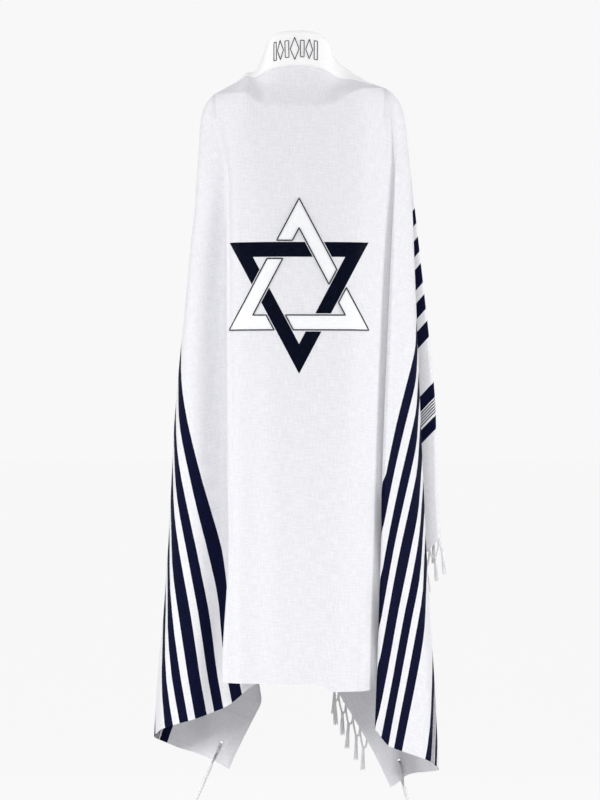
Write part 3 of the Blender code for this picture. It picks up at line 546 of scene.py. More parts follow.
# Soft creases, each from one place in the cloth to another: width and depth in centimetres,
# a positive depth stands out and a negative one is a trough
Crease = namedtuple("Crease", "fromU fromV toU toV width depth")
creases = (
    Crease(-19.0, 14.0, -13.0, 70.0, 2.6, 0.28),
    Crease(-15.0, 22.0, -9.5, 118.0, 3.0, -0.22),
    Crease(-3.5, 34.0, -5.0, 138.0, 3.6, 0.16),
    Crease(6.0, 60.0, 4.0, 141.0, 3.2, 0.18),
    Crease(17.5, 15.0, 11.5, 84.0, 2.8, 0.26),
    Crease(20.0, 40.0, 16.5, 132.0, 2.4, -0.20),
    Crease(-21.0, 90.0, -14.0, 141.0, 2.2, 0.20),
    Crease(-9.0, 12.0, 2.0, 19.0, 1.6, 0.14),
    Crease(13.0, 10.0, 5.0, 20.0, 1.4, 0.16),
    Crease(31.0, 30.0, 42.0, 96.0, 2.6, 0.34),
    Crease(36.0, 26.0, 58.0, 104.0, 3.0, -0.26),
    Crease(-32.0, 34.0, -45.0, 106.0, 2.4, 0.30),
    Crease(-38.0, 28.0, -63.0, 100.0, 3.2, -0.28),
    Crease(46.0, 22.0, 78.0, 60.0, 2.4, 0.26),
    Crease(-47.0, 24.0, -80.0, 66.0, 2.2, 0.28),
    Crease(40.0, 3.0, 90.0, 7.0, 2.0, 0.18),
    Crease(-42.0, 5.0, -92.0, 9.0, 2.4, 0.20),
)


# Where the hem sinks, towards the right end of the back and at both sides, and where it
# rises by a negative drop: at the right side panel's fold edge and the left hidden fold
HemDip = namedtuple("HemDip", "starts full holds ends above drop")
hemDips = (
    HemDip(3.2, 8.8, 18.6, 26.0, 95.0, 1.7),
    HemDip(36.0, 50.0, 80.0, 92.0, 50.0, 2.3),
    HemDip(46.0, 52.0, 53.5, 59.0, 110.0, -2.6),
    HemDip(-92.0, -80.0, -50.0, -36.0, 50.0, 2.3),
    HemDip(-47.0, -39.0, -28.0, -22.0, 95.0, -1.9),
)


def ease(low, high, values):
    share = np.clip((values - low) / (high - low), 0, 1)
    return share * share * (3 - 2 * share)


def hemSink(places):
    u, v = places.T
    sink = np.zeros(len(places))
    for dip in hemDips:
        across = ease(dip.starts, dip.full, u) * (1 - ease(dip.holds, dip.ends, u))
        down = np.clip((v - dip.above) / (cloth["width"] - dip.above), 0, 1)
        sink += dip.drop * across * down**2
    return sink


# How the drape seats on the body: raised shoulders, and sides that lie a little closer,
# with the left back fold and the left back corner drawn in. Pairs say where each starts and is full
seat = {
    "shoulderOut": (0.0, 7.6, 9.0, 11.0, 13.0, 16.0, 18.0, 21.0, 40.0),
    "leftRise": (0.0, 0.0, 0.3, 2.1, 1.7, 1.2, 0.9, 0.5, 0.4),
    "rightRise": (0.0, 0.0, 0.8, 1.9, 2.3, 2.0, 1.6, 1.5, 1.4),
    "riseFrom": -24.0, "riseFull": -8.0,
    "foldIn": 1.9, "foldOut": 17.6, "foldWide": 3.0,
    "foldTop": (-10.0, -24.0), "foldBottom": (-130.0, -100.0),
    "cornerIn": 1.3, "cornerTop": (-118.0, -138.0), "cornerFront": (11.0, 14.0),
    "cornerSide": (-29.0, -20.0),
    "heights": (-150.0, -130.0, -115.0, -100.0, -75.0, -62.0, -45.0, -30.0, -18.0, -8.0, 0.0),
    "leftNarrow": (0.4, 0.4, 0.9, 1.0, 0.7, 1.0, 1.7, 2.3, 2.1, 1.0, 0.0),
    "rightNarrow": (0.6, 0.6, 0.9, 0.9, 0.6, 0.3, 0.2, 0.2, 0.2, 0.0, 0.0),
    "frontFrom": 13.0, "frontFull": 17.0, "frontMore": 1.5, "sideFrom": 15.0, "sideFull": 23.0,
}


def seatOnBody(points):
    x, y, z = points.T
    out, isRight = np.abs(x), x > 0

    def bySide(values, places, name):
        right, left = (np.interp(values, places, seat[side + name]) for side in ("right", "left"))
        return np.where(isRight, right, left)

    rise = bySide(out, seat["shoulderOut"], "Rise")
    narrow = bySide(z, seat["heights"], "Narrow")
    narrow = narrow * ease(seat["sideFrom"], seat["sideFull"], out)
    narrow = narrow * (1 + seat["frontMore"] * ease(seat["frontFrom"], seat["frontFull"], y))
    rise = rise * ease(seat["riseFrom"], seat["riseFull"], z)
    fold = np.exp(-(((out - seat["foldOut"]) / seat["foldWide"]) ** 2)) * ~isRight
    narrow = narrow + seat["foldIn"] * fold * ease(*seat["foldTop"], z) * ease(*seat["foldBottom"], z)
    atCorner = ease(*seat["cornerTop"], z) * ease(*seat["cornerFront"], y)
    atCorner = atCorner * ease(*seat["cornerSide"], x) * ~isRight
    narrow = narrow + seat["cornerIn"] * atCorner
    return np.column_stack((x - np.sign(x) * narrow, y, z + rise))


def creaseHeight(places):
    total = np.zeros(len(places))
    for crease in creases:
        start = np.array((crease.fromU, crease.fromV))
        along = np.array((crease.toU, crease.toV)) - start
        share = ((places - start) @ along) / (along @ along)
        nearest = start + np.clip(share, 0, 1)[:, None] * along
        distance = np.linalg.norm(places - nearest, axis=1)
        fade = np.clip(np.minimum(share, 1.12 - share) / 0.18, 0, 1)
        total += crease.depth * np.exp(-((distance / crease.width) ** 2)) * fade
    return total


class Drape:
    # The cloth's middle surface, each point with its place in the fabric
    def __init__(self):
        self.index, self.points, self.places, self.faces = {}, [], [], []

    def spot(self, position, place):
        key = tuple(np.round(position, 4))
        if key not in self.index:
            self.index[key] = len(self.points)
            self.points.append(position)
            self.places.append(place)
        return self.index[key]

    def grid(self, points, places, flipped=False):
        rows, columns = points.shape[:2]
        ids = [[self.spot(points[i, j], places[i, j]) for j in range(columns)] for i in range(rows)]
        for i in range(rows - 1):
            for j in range(columns - 1):
                loop = [ids[i][j], ids[i + 1][j], ids[i + 1][j + 1], ids[i][j + 1]]
                loop = [place for step, place in enumerate(loop) if place != loop[step - 1]]
                if flipped:
                    loop.reverse()
                self.faces.append(tuple(loop))
        return np.array(ids)

    def finish(self):
        self.points, self.places = np.array(self.points), np.array(self.places)
        halves = [(face[0], face[1], face[2]) for face in self.faces]
        halves += [(face[0], face[2], face[3]) for face in self.faces if len(face) == 4]
        self.triangles = np.array(halves)
        self.findNormals()
        self.points = self.points + self.normals * creaseHeight(self.places)[:, None]
        self.points[:, 2] -= hemSink(self.places)
        self.points = seatOnBody(self.points)
        self.findNormals()
        flat = [(place[0], place[1], 0.0) for place in self.places]
        self.flatTree = BVHTree.FromPolygons(flat, halves)
        self.tree = BVHTree.FromPolygons([tuple(point) for point in self.points], halves)

    def findNormals(self):
        corners = self.points[self.triangles]
        across = np.cross(corners[:, 1] - corners[:, 0], corners[:, 2] - corners[:, 0])
        self.normals = np.zeros_like(self.points)
        for corner in range(3):
            np.add.at(self.normals, self.triangles[:, corner], across)
        self.normals /= np.linalg.norm(self.normals, axis=1)[:, None]

    def blend(self, index, spot, table):
        # Weights of the triangle's corners at a spot in it, and the surface there
        corners = self.triangles[index]
        a, b, c = table[corners]
        normal = np.cross(b - a, c - a)
        size = normal @ normal
        wb = np.cross(spot - a, c - a) @ normal / size
        wc = np.cross(b - a, spot - a) @ normal / size
        weights = np.array((1 - wb - wc, wb, wc))
        return weights @ self.points[corners], unit(weights @ self.normals[corners])

    def at(self, u, v, lift=0.0):
        hit, _, index, _ = self.flatTree.find_nearest((u, v, 0.0))
        flat = np.column_stack((self.places, np.zeros(len(self.places))))
        point, normal = self.blend(index, np.array(hit), flat)
        return point + normal * lift, normal

    def behind(self, x, z, lift):
        # The back panel's outer face, straight ahead of a spot seen from behind
        hit, _, index, _ = self.tree.ray_cast((x, -60.0, z), (0.0, 1.0, 0.0))
        point, normal = self.blend(index, np.array(hit), self.points)
        return point + normal * lift


rightFan, rightPlaces = fan(rightBends, rightShoulder, 1)
leftFan, leftPlaces = fan(leftBends, leftShoulder, -1)
back, backPlaces = backPanel(rightFan, leftFan, rightPlaces, leftPlaces)
top, topPlaces = yoke(back, backPlaces)
rightStrip, rightStripPlaces = frontStrip(
    rightFan, rightPlaces, top[:, -1], topPlaces[:, -1], rightFrontEnd
)
leftStrip, leftStripPlaces = frontStrip(
    leftFan, leftPlaces, top[:, 0], topPlaces[:, 0], leftFrontEnd
)
drape = Drape()
drape.grid(back, backPlaces)
drape.grid(top, topPlaces)
rightIds = drape.grid(rightFan, rightPlaces)
leftIds = drape.grid(leftFan, leftPlaces, flipped=True)
rightStripIds = drape.grid(rightStrip[:, ::-1], rightStripPlaces[:, ::-1])
leftStripIds = drape.grid(leftStrip[:, ::-1], leftStripPlaces[:, ::-1], flipped=True)
drape.finish()
print("drape worked out:", len(drape.points), "points,", len(drape.faces), "faces")


def newPiece(name, points, faces, material, node, uvName=None, uv=None):
    # A mesh piece from points in centimetres, riding on the shawl
    mesh = bpy.data.meshes.new(name)
    mesh.from_pydata([tuple(point) for point in 0.01 * np.array(points)], [], faces)
    mesh.update()
    if uvName:
        layer = mesh.uv_layers.new(name=uvName)
        order = np.zeros(len(mesh.loops), dtype=int)
        mesh.loops.foreach_get("vertex_index", order)
        layer.data.foreach_set("uv", np.array(uv)[order].ravel())
    piece = bpy.data.objects.new(name, mesh)
    bpy.context.scene.collection.objects.link(piece)
    piece.data.materials.append(material)
    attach(piece, "root")
    if node:
        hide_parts(node)
    return piece


def choose(piece):
    bpy.ops.object.select_all(action="DESELECT")
    piece.select_set(True)
    bpy.context.view_layer.objects.active = piece


def thicken(piece, thickness, offset):
    choose(piece)
    wall = piece.modifiers.new("wall", "SOLIDIFY")
    wall.thickness = 0.01 * thickness
    wall.offset = offset
    bpy.ops.object.modifier_apply(modifier="wall")


def smooth(piece, degrees=50):
    choose(piece)
    bpy.ops.object.shade_smooth_by_angle(angle=math.radians(degrees))


def fabricUv(u, v):
    # Where a place in the fabric lies in the wool's UV map
    return u / cloth["length"] + 0.5, v / cloth["width"]


# The corners, where the patches, eyelets and tassels are
corner = {
    "patch": 11.5, "inset": 0.35, "holeIn": 4.5, "holeRadius": 0.5,
    "patchLift": 0.05, "patchThick": 0.05, "rimDip": 0.03, "points": 30, "patchMiddle": 6.0,
    "stitchIn": 0.45, "stitch": 0.42, "innerLift": 0.115,
    "wraps": 30, "wrapSteps": 10, "wrapWide": 0.14, "wrapDeep": 0.105, "thread": 0.042,
}
corners = (
    ("back_right", 1, cloth["width"], -1),
    ("back_left", -1, cloth["width"], -1),
    ("front_right", 1, 0.0, 1),
    ("front_left", -1, 0.0, 1),
)


def inCorner(side, edgeV, inward, u, v):
    # The place in the fabric that lies u and v inside a corner
    return side * (halfLength - u), edgeV + inward * v


def eyeletAt(*where):
    # The middle of a corner's eyelet, and the way the cloth faces there
    return drape.at(*inCorner(*where, corner["holeIn"], corner["holeIn"]))


def addCutters():
    # Four round cutters, one through each corner's eyelet
    made = []
    for _, *where in corners:
        place, normal = eyeletAt(*where)
        bpy.ops.mesh.primitive_cylinder_add(
            vertices=32, radius=0.01 * corner["holeRadius"], depth=0.02,
            location=0.01 * Vector(place), rotation=Vector(normal).to_track_quat("Z", "Y").to_euler(),
        )
        made.append(bpy.context.active_object)
    return made


def cutHoles(piece, cutters):
    for cutter in cutters:
        choose(piece)
        hole = piece.modifiers.new("hole", "BOOLEAN")
        hole.operation = "DIFFERENCE"
        hole.object = cutter
        bpy.ops.object.modifier_apply(modifier="hole")


def addCloth():
    uv = np.column_stack(fabricUv(*drape.places.T))
    piece = newPiece(
        "shawl_cloth", drape.points, drape.faces, woolCloth, "cloth", "fabric", uv
    )
    thicken(piece, cloth["wall"], 0.0)
    return piece


cutters = addCutters()
shawl = addCloth()
cutHoles(shawl, cutters)
smooth(shawl)
print("cloth made:", len(shawl.data.polygons), "faces")


def gridFaces(rows, columns, first=0):
    starts = [first + i * columns + j for i in range(rows - 1) for j in range(columns - 1)]
    return [(a, a + columns, a + columns + 1, a + 1) for a in starts]


def squareTo(axis, reference):
    # Two directions square to an axis and to each other, the first also to the reference
    across = unit(np.cross(axis, reference))
    return across, np.cross(axis, across)


aside = (0.31, 1.0, 0.22)  # a direction that no thread here runs along


def framesAlong(path, reference):
    # Two directions across a path at each of its points, the first nearest to the reference
    ahead = np.gradient(path, axis=0)
    ahead /= np.linalg.norm(ahead, axis=1)[:, None] + 1e-12
    across = np.broadcast_to(reference, path.shape)
    across = across - (across * ahead).sum(1)[:, None] * ahead
    across = across / (np.linalg.norm(across, axis=1)[:, None] + 1e-12)
    return across, np.cross(ahead, across)


class Bundle:
    # Many small tubes and lumps gathered into one mesh
    def __init__(self):
        self.points, self.faces = [], []

    def add(self, points, faces):
        first = len(self.points)
        self.points.extend(points)
        self.faces.extend(tuple(place + first for place in face) for face in faces)

    def tube(self, path, radius, sides, reference=aside):
        path = np.array(path, dtype=float)
        radius = np.broadcast_to(radius, len(path))
        across, other = framesAlong(path, reference)
        turns = 2 * math.pi * np.arange(sides) / sides
        rings = path[:, None] + radius[:, None, None] * (
            np.cos(turns)[None, :, None] * across[:, None]
            + np.sin(turns)[None, :, None] * other[:, None]
        )
        faces = []
        for step in range(len(path) - 1):
            for side in range(sides):
                after = (side + 1) % sides
                a, b = step * sides + side, step * sides + after
                faces.append((a, b, b + sides, a + sides))
        faces.append(tuple(reversed(range(sides))))
        faces.append(tuple(range((len(path) - 1) * sides, len(path) * sides)))
        self.add(rings.reshape(-1, 3), faces)

    def twisted(self, path, plies, radius, turnsPerCm, sides=4):
        # Plies wound round each other along the path
        path = np.array(path, dtype=float)
        across, other = framesAlong(path, aside)
        run = runAlong(path)
        for ply in range(plies):
            angle = 2 * math.pi * (turnsPerCm * run + ply / plies)
            out = np.cos(angle)[:, None] * across + np.sin(angle)[:, None] * other
            self.tube(path + out * radius, radius, sides, reference=out)

    def lump(self, centre, axis, wide, tall, seed):
        # A knot: a short fat body with the strand's turns across it
        axis = unit(np.array(axis))
        across, other = squareTo(axis, (0.3, 1.0, 0.2))
        path, out = [], []
        for step in range(19):
            angle = 2 * math.pi * step / 9 + seed
            lean = np.cos(angle) * across + np.sin(angle) * other
            rise = tall * (step / 18 - 0.5) + 0.35 * tall * math.sin(angle + seed)
            path.append(np.array(centre) + axis * rise + lean * wide * 0.55)
            out.append(lean)
        self.tube(path, wide * 0.5, 5, reference=np.array(out))

    def build(self, name, material, node):
        piece = newPiece(name, self.points, self.faces, material, node)
        smooth(piece, 60)
        return piece


# The neckband: white satin sewn over the middle of the top edge
neckband = {"reach": 20.5, "columns": 84, "rows": 14, "lift": 0.16, "thick": 0.09, "stitch": 0.36}


def addNeckband():
    points, uv = [], []
    for column in range(neckband["columns"]):
        u = neckband["reach"] * (2 * column / (neckband["columns"] - 1) - 1)
        for row in range(neckband["rows"]):
            v = 0.12 + (bandWidth - 0.12) * row / (neckband["rows"] - 1)
            puff = 0.02 * math.sin(math.pi * row / (neckband["rows"] - 1))
            puff += 0.012 * math.sin(1.9 * u + 0.7 * v) * math.sin(0.8 * u - 1.1 * v)
            point, _ = drape.at(u, v, neckband["lift"] + puff)
            points.append(point)
            uv.append((0.01 * v, 0.01 * u))
    faces = [tuple(reversed(face)) for face in gridFaces(neckband["columns"], neckband["rows"])]
    piece = newPiece("neckband", points, faces, ribbon, "atarah", "stitch", uv)
    thicken(piece, neckband["thick"], -1.0)
    smooth(piece)
    return piece


band = addNeckband()


def onBar(u):
    # True where a navy bar is woven, since the thread sinks in there and is navy too
    fromEnd = halfLength - abs(u)
    return any(bar.start - 0.1 < fromEnd < bar.start + bar.width + 0.1 for bar in bars)


# A row of small sewing stitches along a line of the cloth, on both its faces
def stitchRow(bundle, places, spacing, lift, faces=(1, -1), radius=0.028):
    places = np.array(places, dtype=float)
    run = runAlong(places)
    for stitch in range(int(run[-1] / spacing)):
        ends = [spacing * (stitch + share) for share in (0.12, 0.5, 0.88)]
        marks = [[np.interp(end, run, places[:, axis]) for axis in range(2)] for end in ends]
        if onBar(marks[1][0]):
            continue
        for face in faces:
            lifts = (face * (lift + 0.02 * height) for height in (0.0, 1.0, 0.0))
            path = [drape.at(*mark, height)[0] for mark, height in zip(marks, lifts)]
            bundle.tube(path, radius, 4)


hem = {"in": 1.0, "spacing": 0.5, "turned": 1.25, "thick": 0.07, "step": 0.9}


def addTurnedHem():
    # The hem turned over onto the inner face, along all four edges
    points, faces, uv = [], [], []
    long, wide = cloth["length"] / 2, cloth["width"]
    sides = (
        ((-long, wide), (long, wide), (0, -1)), ((long, 0), (-long, 0), (0, 1)),
        ((long, wide), (long, 0), (-1, 0)), ((-long, 0), (-long, wide), (1, 0)),
    )
    for start, end, inward in sides:
        start, end, inward = np.array(start), np.array(end), np.array(inward)
        length = np.linalg.norm(end - start)
        steps = round(length / hem["step"])
        first = len(points)
        for step in range(steps + 1):
            for share in (0.0, 0.5, 1.0):
                turned = hem["turned"] * share
                along = np.clip(step / steps * length, turned, length - turned)  # mitred at the corners
                place = start + (end - start) / length * along
                place = place + inward * (0.02 + turned)
                points.append(drape.at(*place, -cloth["wall"] / 2)[0])
                uv.append(fabricUv(*place))
        faces += gridFaces(steps + 1, 3, first)
    piece = newPiece("turned_hem", points, faces, woolCloth, None, "fabric", uv)
    middle, outward = drape.at(0.0, wide - 0.6)
    nearby = min(piece.data.polygons, key=lambda face: (face.center - 0.01 * Vector(middle)).length)
    if nearby.normal @ Vector(outward) > 0:
        piece.data.flip_normals()
    thicken(piece, hem["thick"], 1.0)
    smooth(piece)
    return piece


def addHemStitches():
    # The hem's line of stitches, one centimetre in from all four edges
    bundle = Bundle()
    near, far = hem["in"], cloth["width"] - hem["in"]
    end = halfLength - hem["in"]
    lines = [
        [(-end, far), (end, far)],
        [(-end, near), (-neckband["reach"] - 0.5, near)],
        [(neckband["reach"] + 0.5, near), (end, near)],
        [(-end, near), (-end, far)],
        [(end, near), (end, far)],
    ]
    for line in lines:
        stitchRow(bundle, line, hem["spacing"], cloth["wall"] / 2, faces=(1,))
        stitchRow(bundle, line, hem["spacing"], cloth["wall"] / 2 + hem["thick"], faces=(-1,))
    return bundle.build("hem_stitches", sewingThread, None)


def addBandStitches():
    bundle = Bundle()
    reach = neckband["reach"] - 0.25
    lift = neckband["lift"] + 0.012
    upper, lower = 0.35, bandWidth - 0.3
    loop = [(-reach, upper), (reach, upper), (reach, lower), (-reach, lower)]
    for one, two in zip(loop, loop[1:] + loop[:1]):
        stitchRow(bundle, [one, two], neckband["stitch"], lift, faces=(1,))
    return bundle.build("neckband_stitches", sewingThread, None)


turnedHem = addTurnedHem()
hemStitches = addHemStitches()
bandStitches = addBandStitches()
print("neckband and hems made")

# The ornament on the neckband: outlined lozenges and bars, in thin navy cord
ornament = {"cord": 0.085, "u": -0.9, "v": 3.6, "step": 0.25, "lift": 0.05}
Motif = namedtuple("Motif", "kind offset wide tall")
motifs = (
    Motif("bar", -4.6, 0.8, 3.8),
    Motif("lozenge", -3.1, 1.5, 4.0),
    Motif("bar", -1.6, 0.8, 3.4),
    Motif("lozenge", 0.0, 1.8, 4.6),
    Motif("bar", 1.6, 0.8, 3.4),
    Motif("lozenge", 3.1, 1.5, 4.0),
    Motif("bar", 4.6, 0.8, 3.8),
)


def stepped(line, size):
    # Spots along a line of corners, about that far apart
    spots = []
    for one, two in zip(line, line[1:]):
        steps = max(2, round(np.linalg.norm(two - one) / size))
        spots += [one + (two - one) * step / steps for step in range(steps)]
    return spots


def addOrnament():
    bundle = Bundle()
    shapes = {
        "lozenge": ((0, -1), (1, 0), (0, 1), (-1, 0), (0, -1)),
        "bar": ((-1, -1), (1, -1), (1, 1), (-1, 1), (-1, -1)),
    }
    for motif in motifs:
        outline = np.array(shapes[motif.kind], dtype=float)
        outline = outline * (motif.wide / 2, motif.tall / 2)
        path = []
        for spot in stepped(outline, ornament["step"]):
            place = (ornament["u"] + motif.offset + spot[0], ornament["v"] + spot[1])
            path.append(drape.at(*place, neckband["lift"] + ornament["lift"])[0])
        bundle.tube(path + path[:2], ornament["cord"], 6)
    return bundle.build("neckband_ornament", navyThread, None)


bandOrnament = addOrnament()

# The star: six bent bands of satin stitch that pass over and under one another
star = {
    "x": 0.0, "z": -46.1, "radius": 18.4, "break": 0.35, "narrow": 0.915,
    "lift": 0.035, "tall": 0.11, "across": 33, "step": 0.5,
    "cord": 0.135, "cordLift": 0.155, "cordStep": 0.3,
}


def meeting(first, second):
    rows = [(math.cos(math.radians(a)), math.sin(math.radians(a))) for a, _ in (first, second)]
    return np.linalg.solve(np.array(rows), np.array((first[1], second[1])))


def starLines(angle):
    # A bent band's outer and inner lines, long arm first
    edge = star["radius"] / 2
    inner = edge - starBand
    far = (angle - 120, inner - star["break"])
    near = (angle, edge + star["break"])
    lines = []
    for depth in (edge, inner):
        spots = (
            meeting((angle - 60, depth), far),
            meeting((angle - 60, depth), (angle + 60, depth)),
            meeting((angle + 60, depth), near),
        )
        lines.append([
            np.array((star["x"] + star["narrow"] * spot[0], star["z"] + spot[1])) for spot in spots
        ])
    return lines


def addStarBand(name, angle, material):
    outer, inner = starLines(angle)
    points, faces, uv = [], [], []
    for arm in range(2):
        length = np.linalg.norm(outer[arm + 1] - outer[arm])
        steps = max(4, round(length / star["step"]))
        first = len(points)
        for step in range(steps + 1):
            along = step / steps
            fromTip = along if arm == 0 else 1 - along
            end = min(1.0, fromTip * steps)
            one = outer[arm] * (1 - along) + outer[arm + 1] * along
            two = inner[arm] * (1 - along) + inner[arm + 1] * along
            for side in range(star["across"]):
                share = side / (star["across"] - 1)
                spot = one * (1 - share) + two * share
                crown = 1 - abs(2 * share - 1) ** 6
                groove = abs(math.sin(math.pi * stitchRows * share)) ** 0.5
                height = star["tall"] * (0.35 + 0.65 * crown * end) * (0.72 + 0.28 * groove)
                points.append(drape.behind(*spot, star["lift"] + height))
                uv.append((0.01 * starBand * share, 0.01 * length * along))
        faces += gridFaces(steps + 1, star["across"], first)
    piece = newPiece(
        "star_band_" + name, points, faces, material, "star_" + name, "stitch", uv
    )
    choose(piece)
    bpy.ops.object.mode_set(mode="EDIT")
    bpy.ops.mesh.select_all(action="SELECT")
    bpy.ops.mesh.remove_doubles(threshold=0.00002)
    bpy.ops.mesh.normals_make_consistent(inside=False)
    bpy.ops.object.mode_set(mode="OBJECT")
    facing = piece.data.polygons[len(piece.data.polygons) // 3].normal
    if facing.y > 0:
        piece.data.flip_normals()
    thicken(piece, star["tall"] * 0.5, -1.0)
    smooth(piece)
    return piece


for place, angle in (("top_left", 150), ("top_right", 30), ("bottom", -90)):
    addStarBand("navy_" + place, angle, navyStitch)
for place, angle in (("top", 90), ("bottom_left", 210), ("bottom_right", -30)):
    addStarBand("white_" + place, angle, whiteStitch)


def addStarOutline():
    # The navy line stitched round each white band
    bundle = Bundle()
    for angle in (90, 210, -30):
        outer, inner = starLines(angle)
        loop = outer + inner[::-1]
        spots = stepped(loop + loop[:1], star["cordStep"])
        path = [drape.behind(*spot, star["cordLift"]) for spot in spots]
        bundle.tube(path + path[:2], star["cord"], 6)
    return bundle.build("star_outline", navyThread, None)


addStarOutline()
print("star made")


# The corner patches, on the inner face, with their sewing and their bound eyelets
def addPatch(row, cutter):
    name, side, _, inward = row
    points, uv = [], []
    count = corner["points"]
    for i in range(count):
        for j in range(count):
            u = corner["inset"] + corner["patch"] * i / (count - 1)
            v = corner["inset"] + corner["patch"] * j / (count - 1)
            rim = min(i, j, count - 1 - i, count - 1 - j)
            lift = -corner["patchLift"] - (corner["rimDip"] if rim in (1, 2) else 0.0)
            place = inCorner(*row[1:], u, v)
            points.append(drape.at(*place, lift)[0])
            uv.append(fabricUv(*place))
    faces = gridFaces(count, count)
    if side * inward < 0:
        faces = [face[::-1] for face in faces]  # so that all four patches face alike
    piece = newPiece(
        "patch_" + name, points, faces, woolCloth, "corner_patch_" + name, "fabric", uv
    )
    middle = corner["patchMiddle"]
    _, outward = drape.at(*inCorner(*row[1:], middle, middle))
    if piece.data.polygons[len(piece.data.polygons) // 2].normal @ Vector(outward) > 0:
        piece.data.flip_normals()
    thicken(piece, corner["patchThick"], 1.0)
    cutHoles(piece, [cutter])
    smooth(piece)
    return piece


patches = [addPatch(row, cutter) for row, cutter in zip(corners, cutters)]
for cutter in cutters:
    bpy.data.objects.remove(cutter, do_unlink=True)


def addPatchStitches():
    bundle = Bundle()
    near = corner["inset"] + corner["stitchIn"]
    far = corner["inset"] + corner["patch"] - corner["stitchIn"]
    loop = [(near, near), (far, near), (far, far), (near, far), (near, near)]
    for _, *where in corners:
        line = [inCorner(*where, u, v) for u, v in loop]
        for one, two in zip(line, line[1:]):
            stitchRow(bundle, [one, two], corner["stitch"], cloth["wall"] / 2, faces=(1,))
            stitchRow(bundle, [one, two], corner["stitch"], corner["innerLift"], faces=(-1,))
    return bundle.build("patch_stitches", sewingThread, None)


def addEyelets():
    # Buttonhole stitches wound round the edge of each hole
    bundle = Bundle()
    wraps, steps = corner["wraps"], corner["wrapSteps"]
    for _, *where in corners:
        centre, normal = eyeletAt(*where)
        across, other = squareTo(normal, (0.2, 0.1, 1.0))
        path = []
        for step in range(wraps * steps + 1):
            around = 2 * math.pi * step / (wraps * steps)
            roll = 2 * math.pi * step / steps
            out = math.cos(around) * across + math.sin(around) * other
            reach = corner["holeRadius"] + corner["wrapWide"] * math.cos(roll)
            rise = normal * corner["wrapDeep"] * math.sin(roll)
            path.append(centre - normal * corner["patchThick"] / 2 + out * reach + rise)
        bundle.tube(path, corner["thread"], 4, reference=tuple(normal))
    return bundle.build("eyelet_binding", sewingThread, None)


addPatchStitches()
addEyelets()
print("corners made")

# The knotted corner tassels: a loop through the eyelet, a wound and knotted head, eight strands
tassel = {
    "head": 11.0, "strand": 19.0, "cord": 0.13, "knots": (0.6, 2.6, 4.8, 7.2, 9.8),
    "winds": (7, 8, 11, 13), "core": 0.24, "wind": 0.11, "ply": 0.085,
}
Hang = namedtuple("Hang", "name side edgeV inward leanX leanY reach")
hangs = (
    Hang("back_right", 1, cloth["width"], -1, 0.30, -0.05, 5.8),
    Hang("back_left", -1, cloth["width"], -1, -0.44, -0.05, 4.9),
    Hang("front_right", 1, 0.0, 1, 0.06, 0.04, 5.8),
    Hang("front_left", -1, 0.0, 1, -0.10, 0.03, 5.8),
)


def curveThrough(points, count):
    # A smooth curve through the points, evenly stepped
    points = np.array(points, dtype=float)
    run = runAlong(points)
    return np.array([
        [cubic(run, points[:, axis], place) for axis in range(3)]
        for place in np.linspace(0, run[-1], count)
    ])


def addTassel(hang):
    bundle = Bundle()
    centre, normal = eyeletAt(hang.side, hang.edgeV, hang.inward)
    down = unit(np.array((hang.leanX, hang.leanY, -1.0)))
    slope = unit(down - (down @ normal) * normal)
    start = centre + slope * hang.reach
    across, other = squareTo(down, (0.2, 1.0, 0.0))
    rim = corner["holeRadius"] - tassel["cord"] * 1.6  # where the loops rest in the eyelet
    for strand in range(4):
        shift = np.cross(slope, normal) * (strand - 1.5) * 0.13
        loop = curveThrough((
            start + down * 0.3 + normal * 0.1 + shift * 0.3,
            start - slope * 0.5 + normal * 0.3 + shift * 0.5,
            centre + slope * hang.reach * 0.5 + normal * 0.6 + shift,
            centre + slope * (rim + 0.1) + normal * 0.4 + shift,
            centre + slope * (rim - 0.06) + shift,
            centre + slope * (rim + 0.1) - normal * 0.45 + shift,
            centre + slope * hang.reach * 0.5 - normal * 0.6 + shift,
            start - slope * 0.5 - normal * 0.3 + shift * 0.5,
            start + down * 0.3 - normal * 0.1 + shift * 0.3,
        ), 46)
        bundle.twisted(loop, 2, tassel["cord"] * 0.5, 2.2)
    bundle.tube([start, start + down * tassel["head"]], tassel["core"], 8)
    for one, two, winds in zip(tassel["knots"], tassel["knots"][1:], tassel["winds"]):
        steps = winds * 12
        path, outs = [], []
        for step in range(steps + 1):
            roll = 2 * math.pi * step / 12
            out = math.cos(roll) * across + math.sin(roll) * other
            along = one + 0.25 + (two - one - 0.5) * step / steps
            path.append(start + down * along + out * (tassel["core"] + tassel["wind"] * 0.7))
            outs.append(out)
        bundle.tube(path, tassel["wind"], 5, reference=np.array(outs))
    for knot in tassel["knots"]:
        for turn in (-0.16, 0.16):
            bundle.lump(start + down * (knot + turn), down, 0.36, 0.22, 5 * knot + turn)
    for strand in range(8):
        angle = 2 * math.pi * strand / 8 + 0.2
        out = math.cos(angle) * across + math.sin(angle) * other
        spread = 0.7 + 0.5 * math.sin(2.1 * strand + hang.side)
        full = tassel["strand"] + 0.8 * math.sin(1.7 * strand)
        line = []
        for share in np.linspace(-0.05, 1.0, 34):
            fall = max(share, 0.0)
            sway = 0.3 * math.sin(5 * fall + strand) * fall
            sway += 0.09 * math.sin(17 * fall + 2.3 * strand) * min(1.0, 4 * fall)
            settle = np.array((-hang.leanX, -hang.leanY, 0.0)) * fall**2 * 3.5
            line.append(
                start + down * (tassel["head"] + share * full)
                + out * (0.16 + spread * fall**1.4) + other * sway + settle
            )
        bundle.twisted(line, 2, tassel["ply"], 1.2)
        bundle.lump(line[-1], down, 0.13, 0.12, strand)
    return bundle.build("tassel_" + hang.name, woolYarn, "tzitzit_" + hang.name)


tassels = [addTassel(hang) for hang in hangs]
print("corner tassels made")

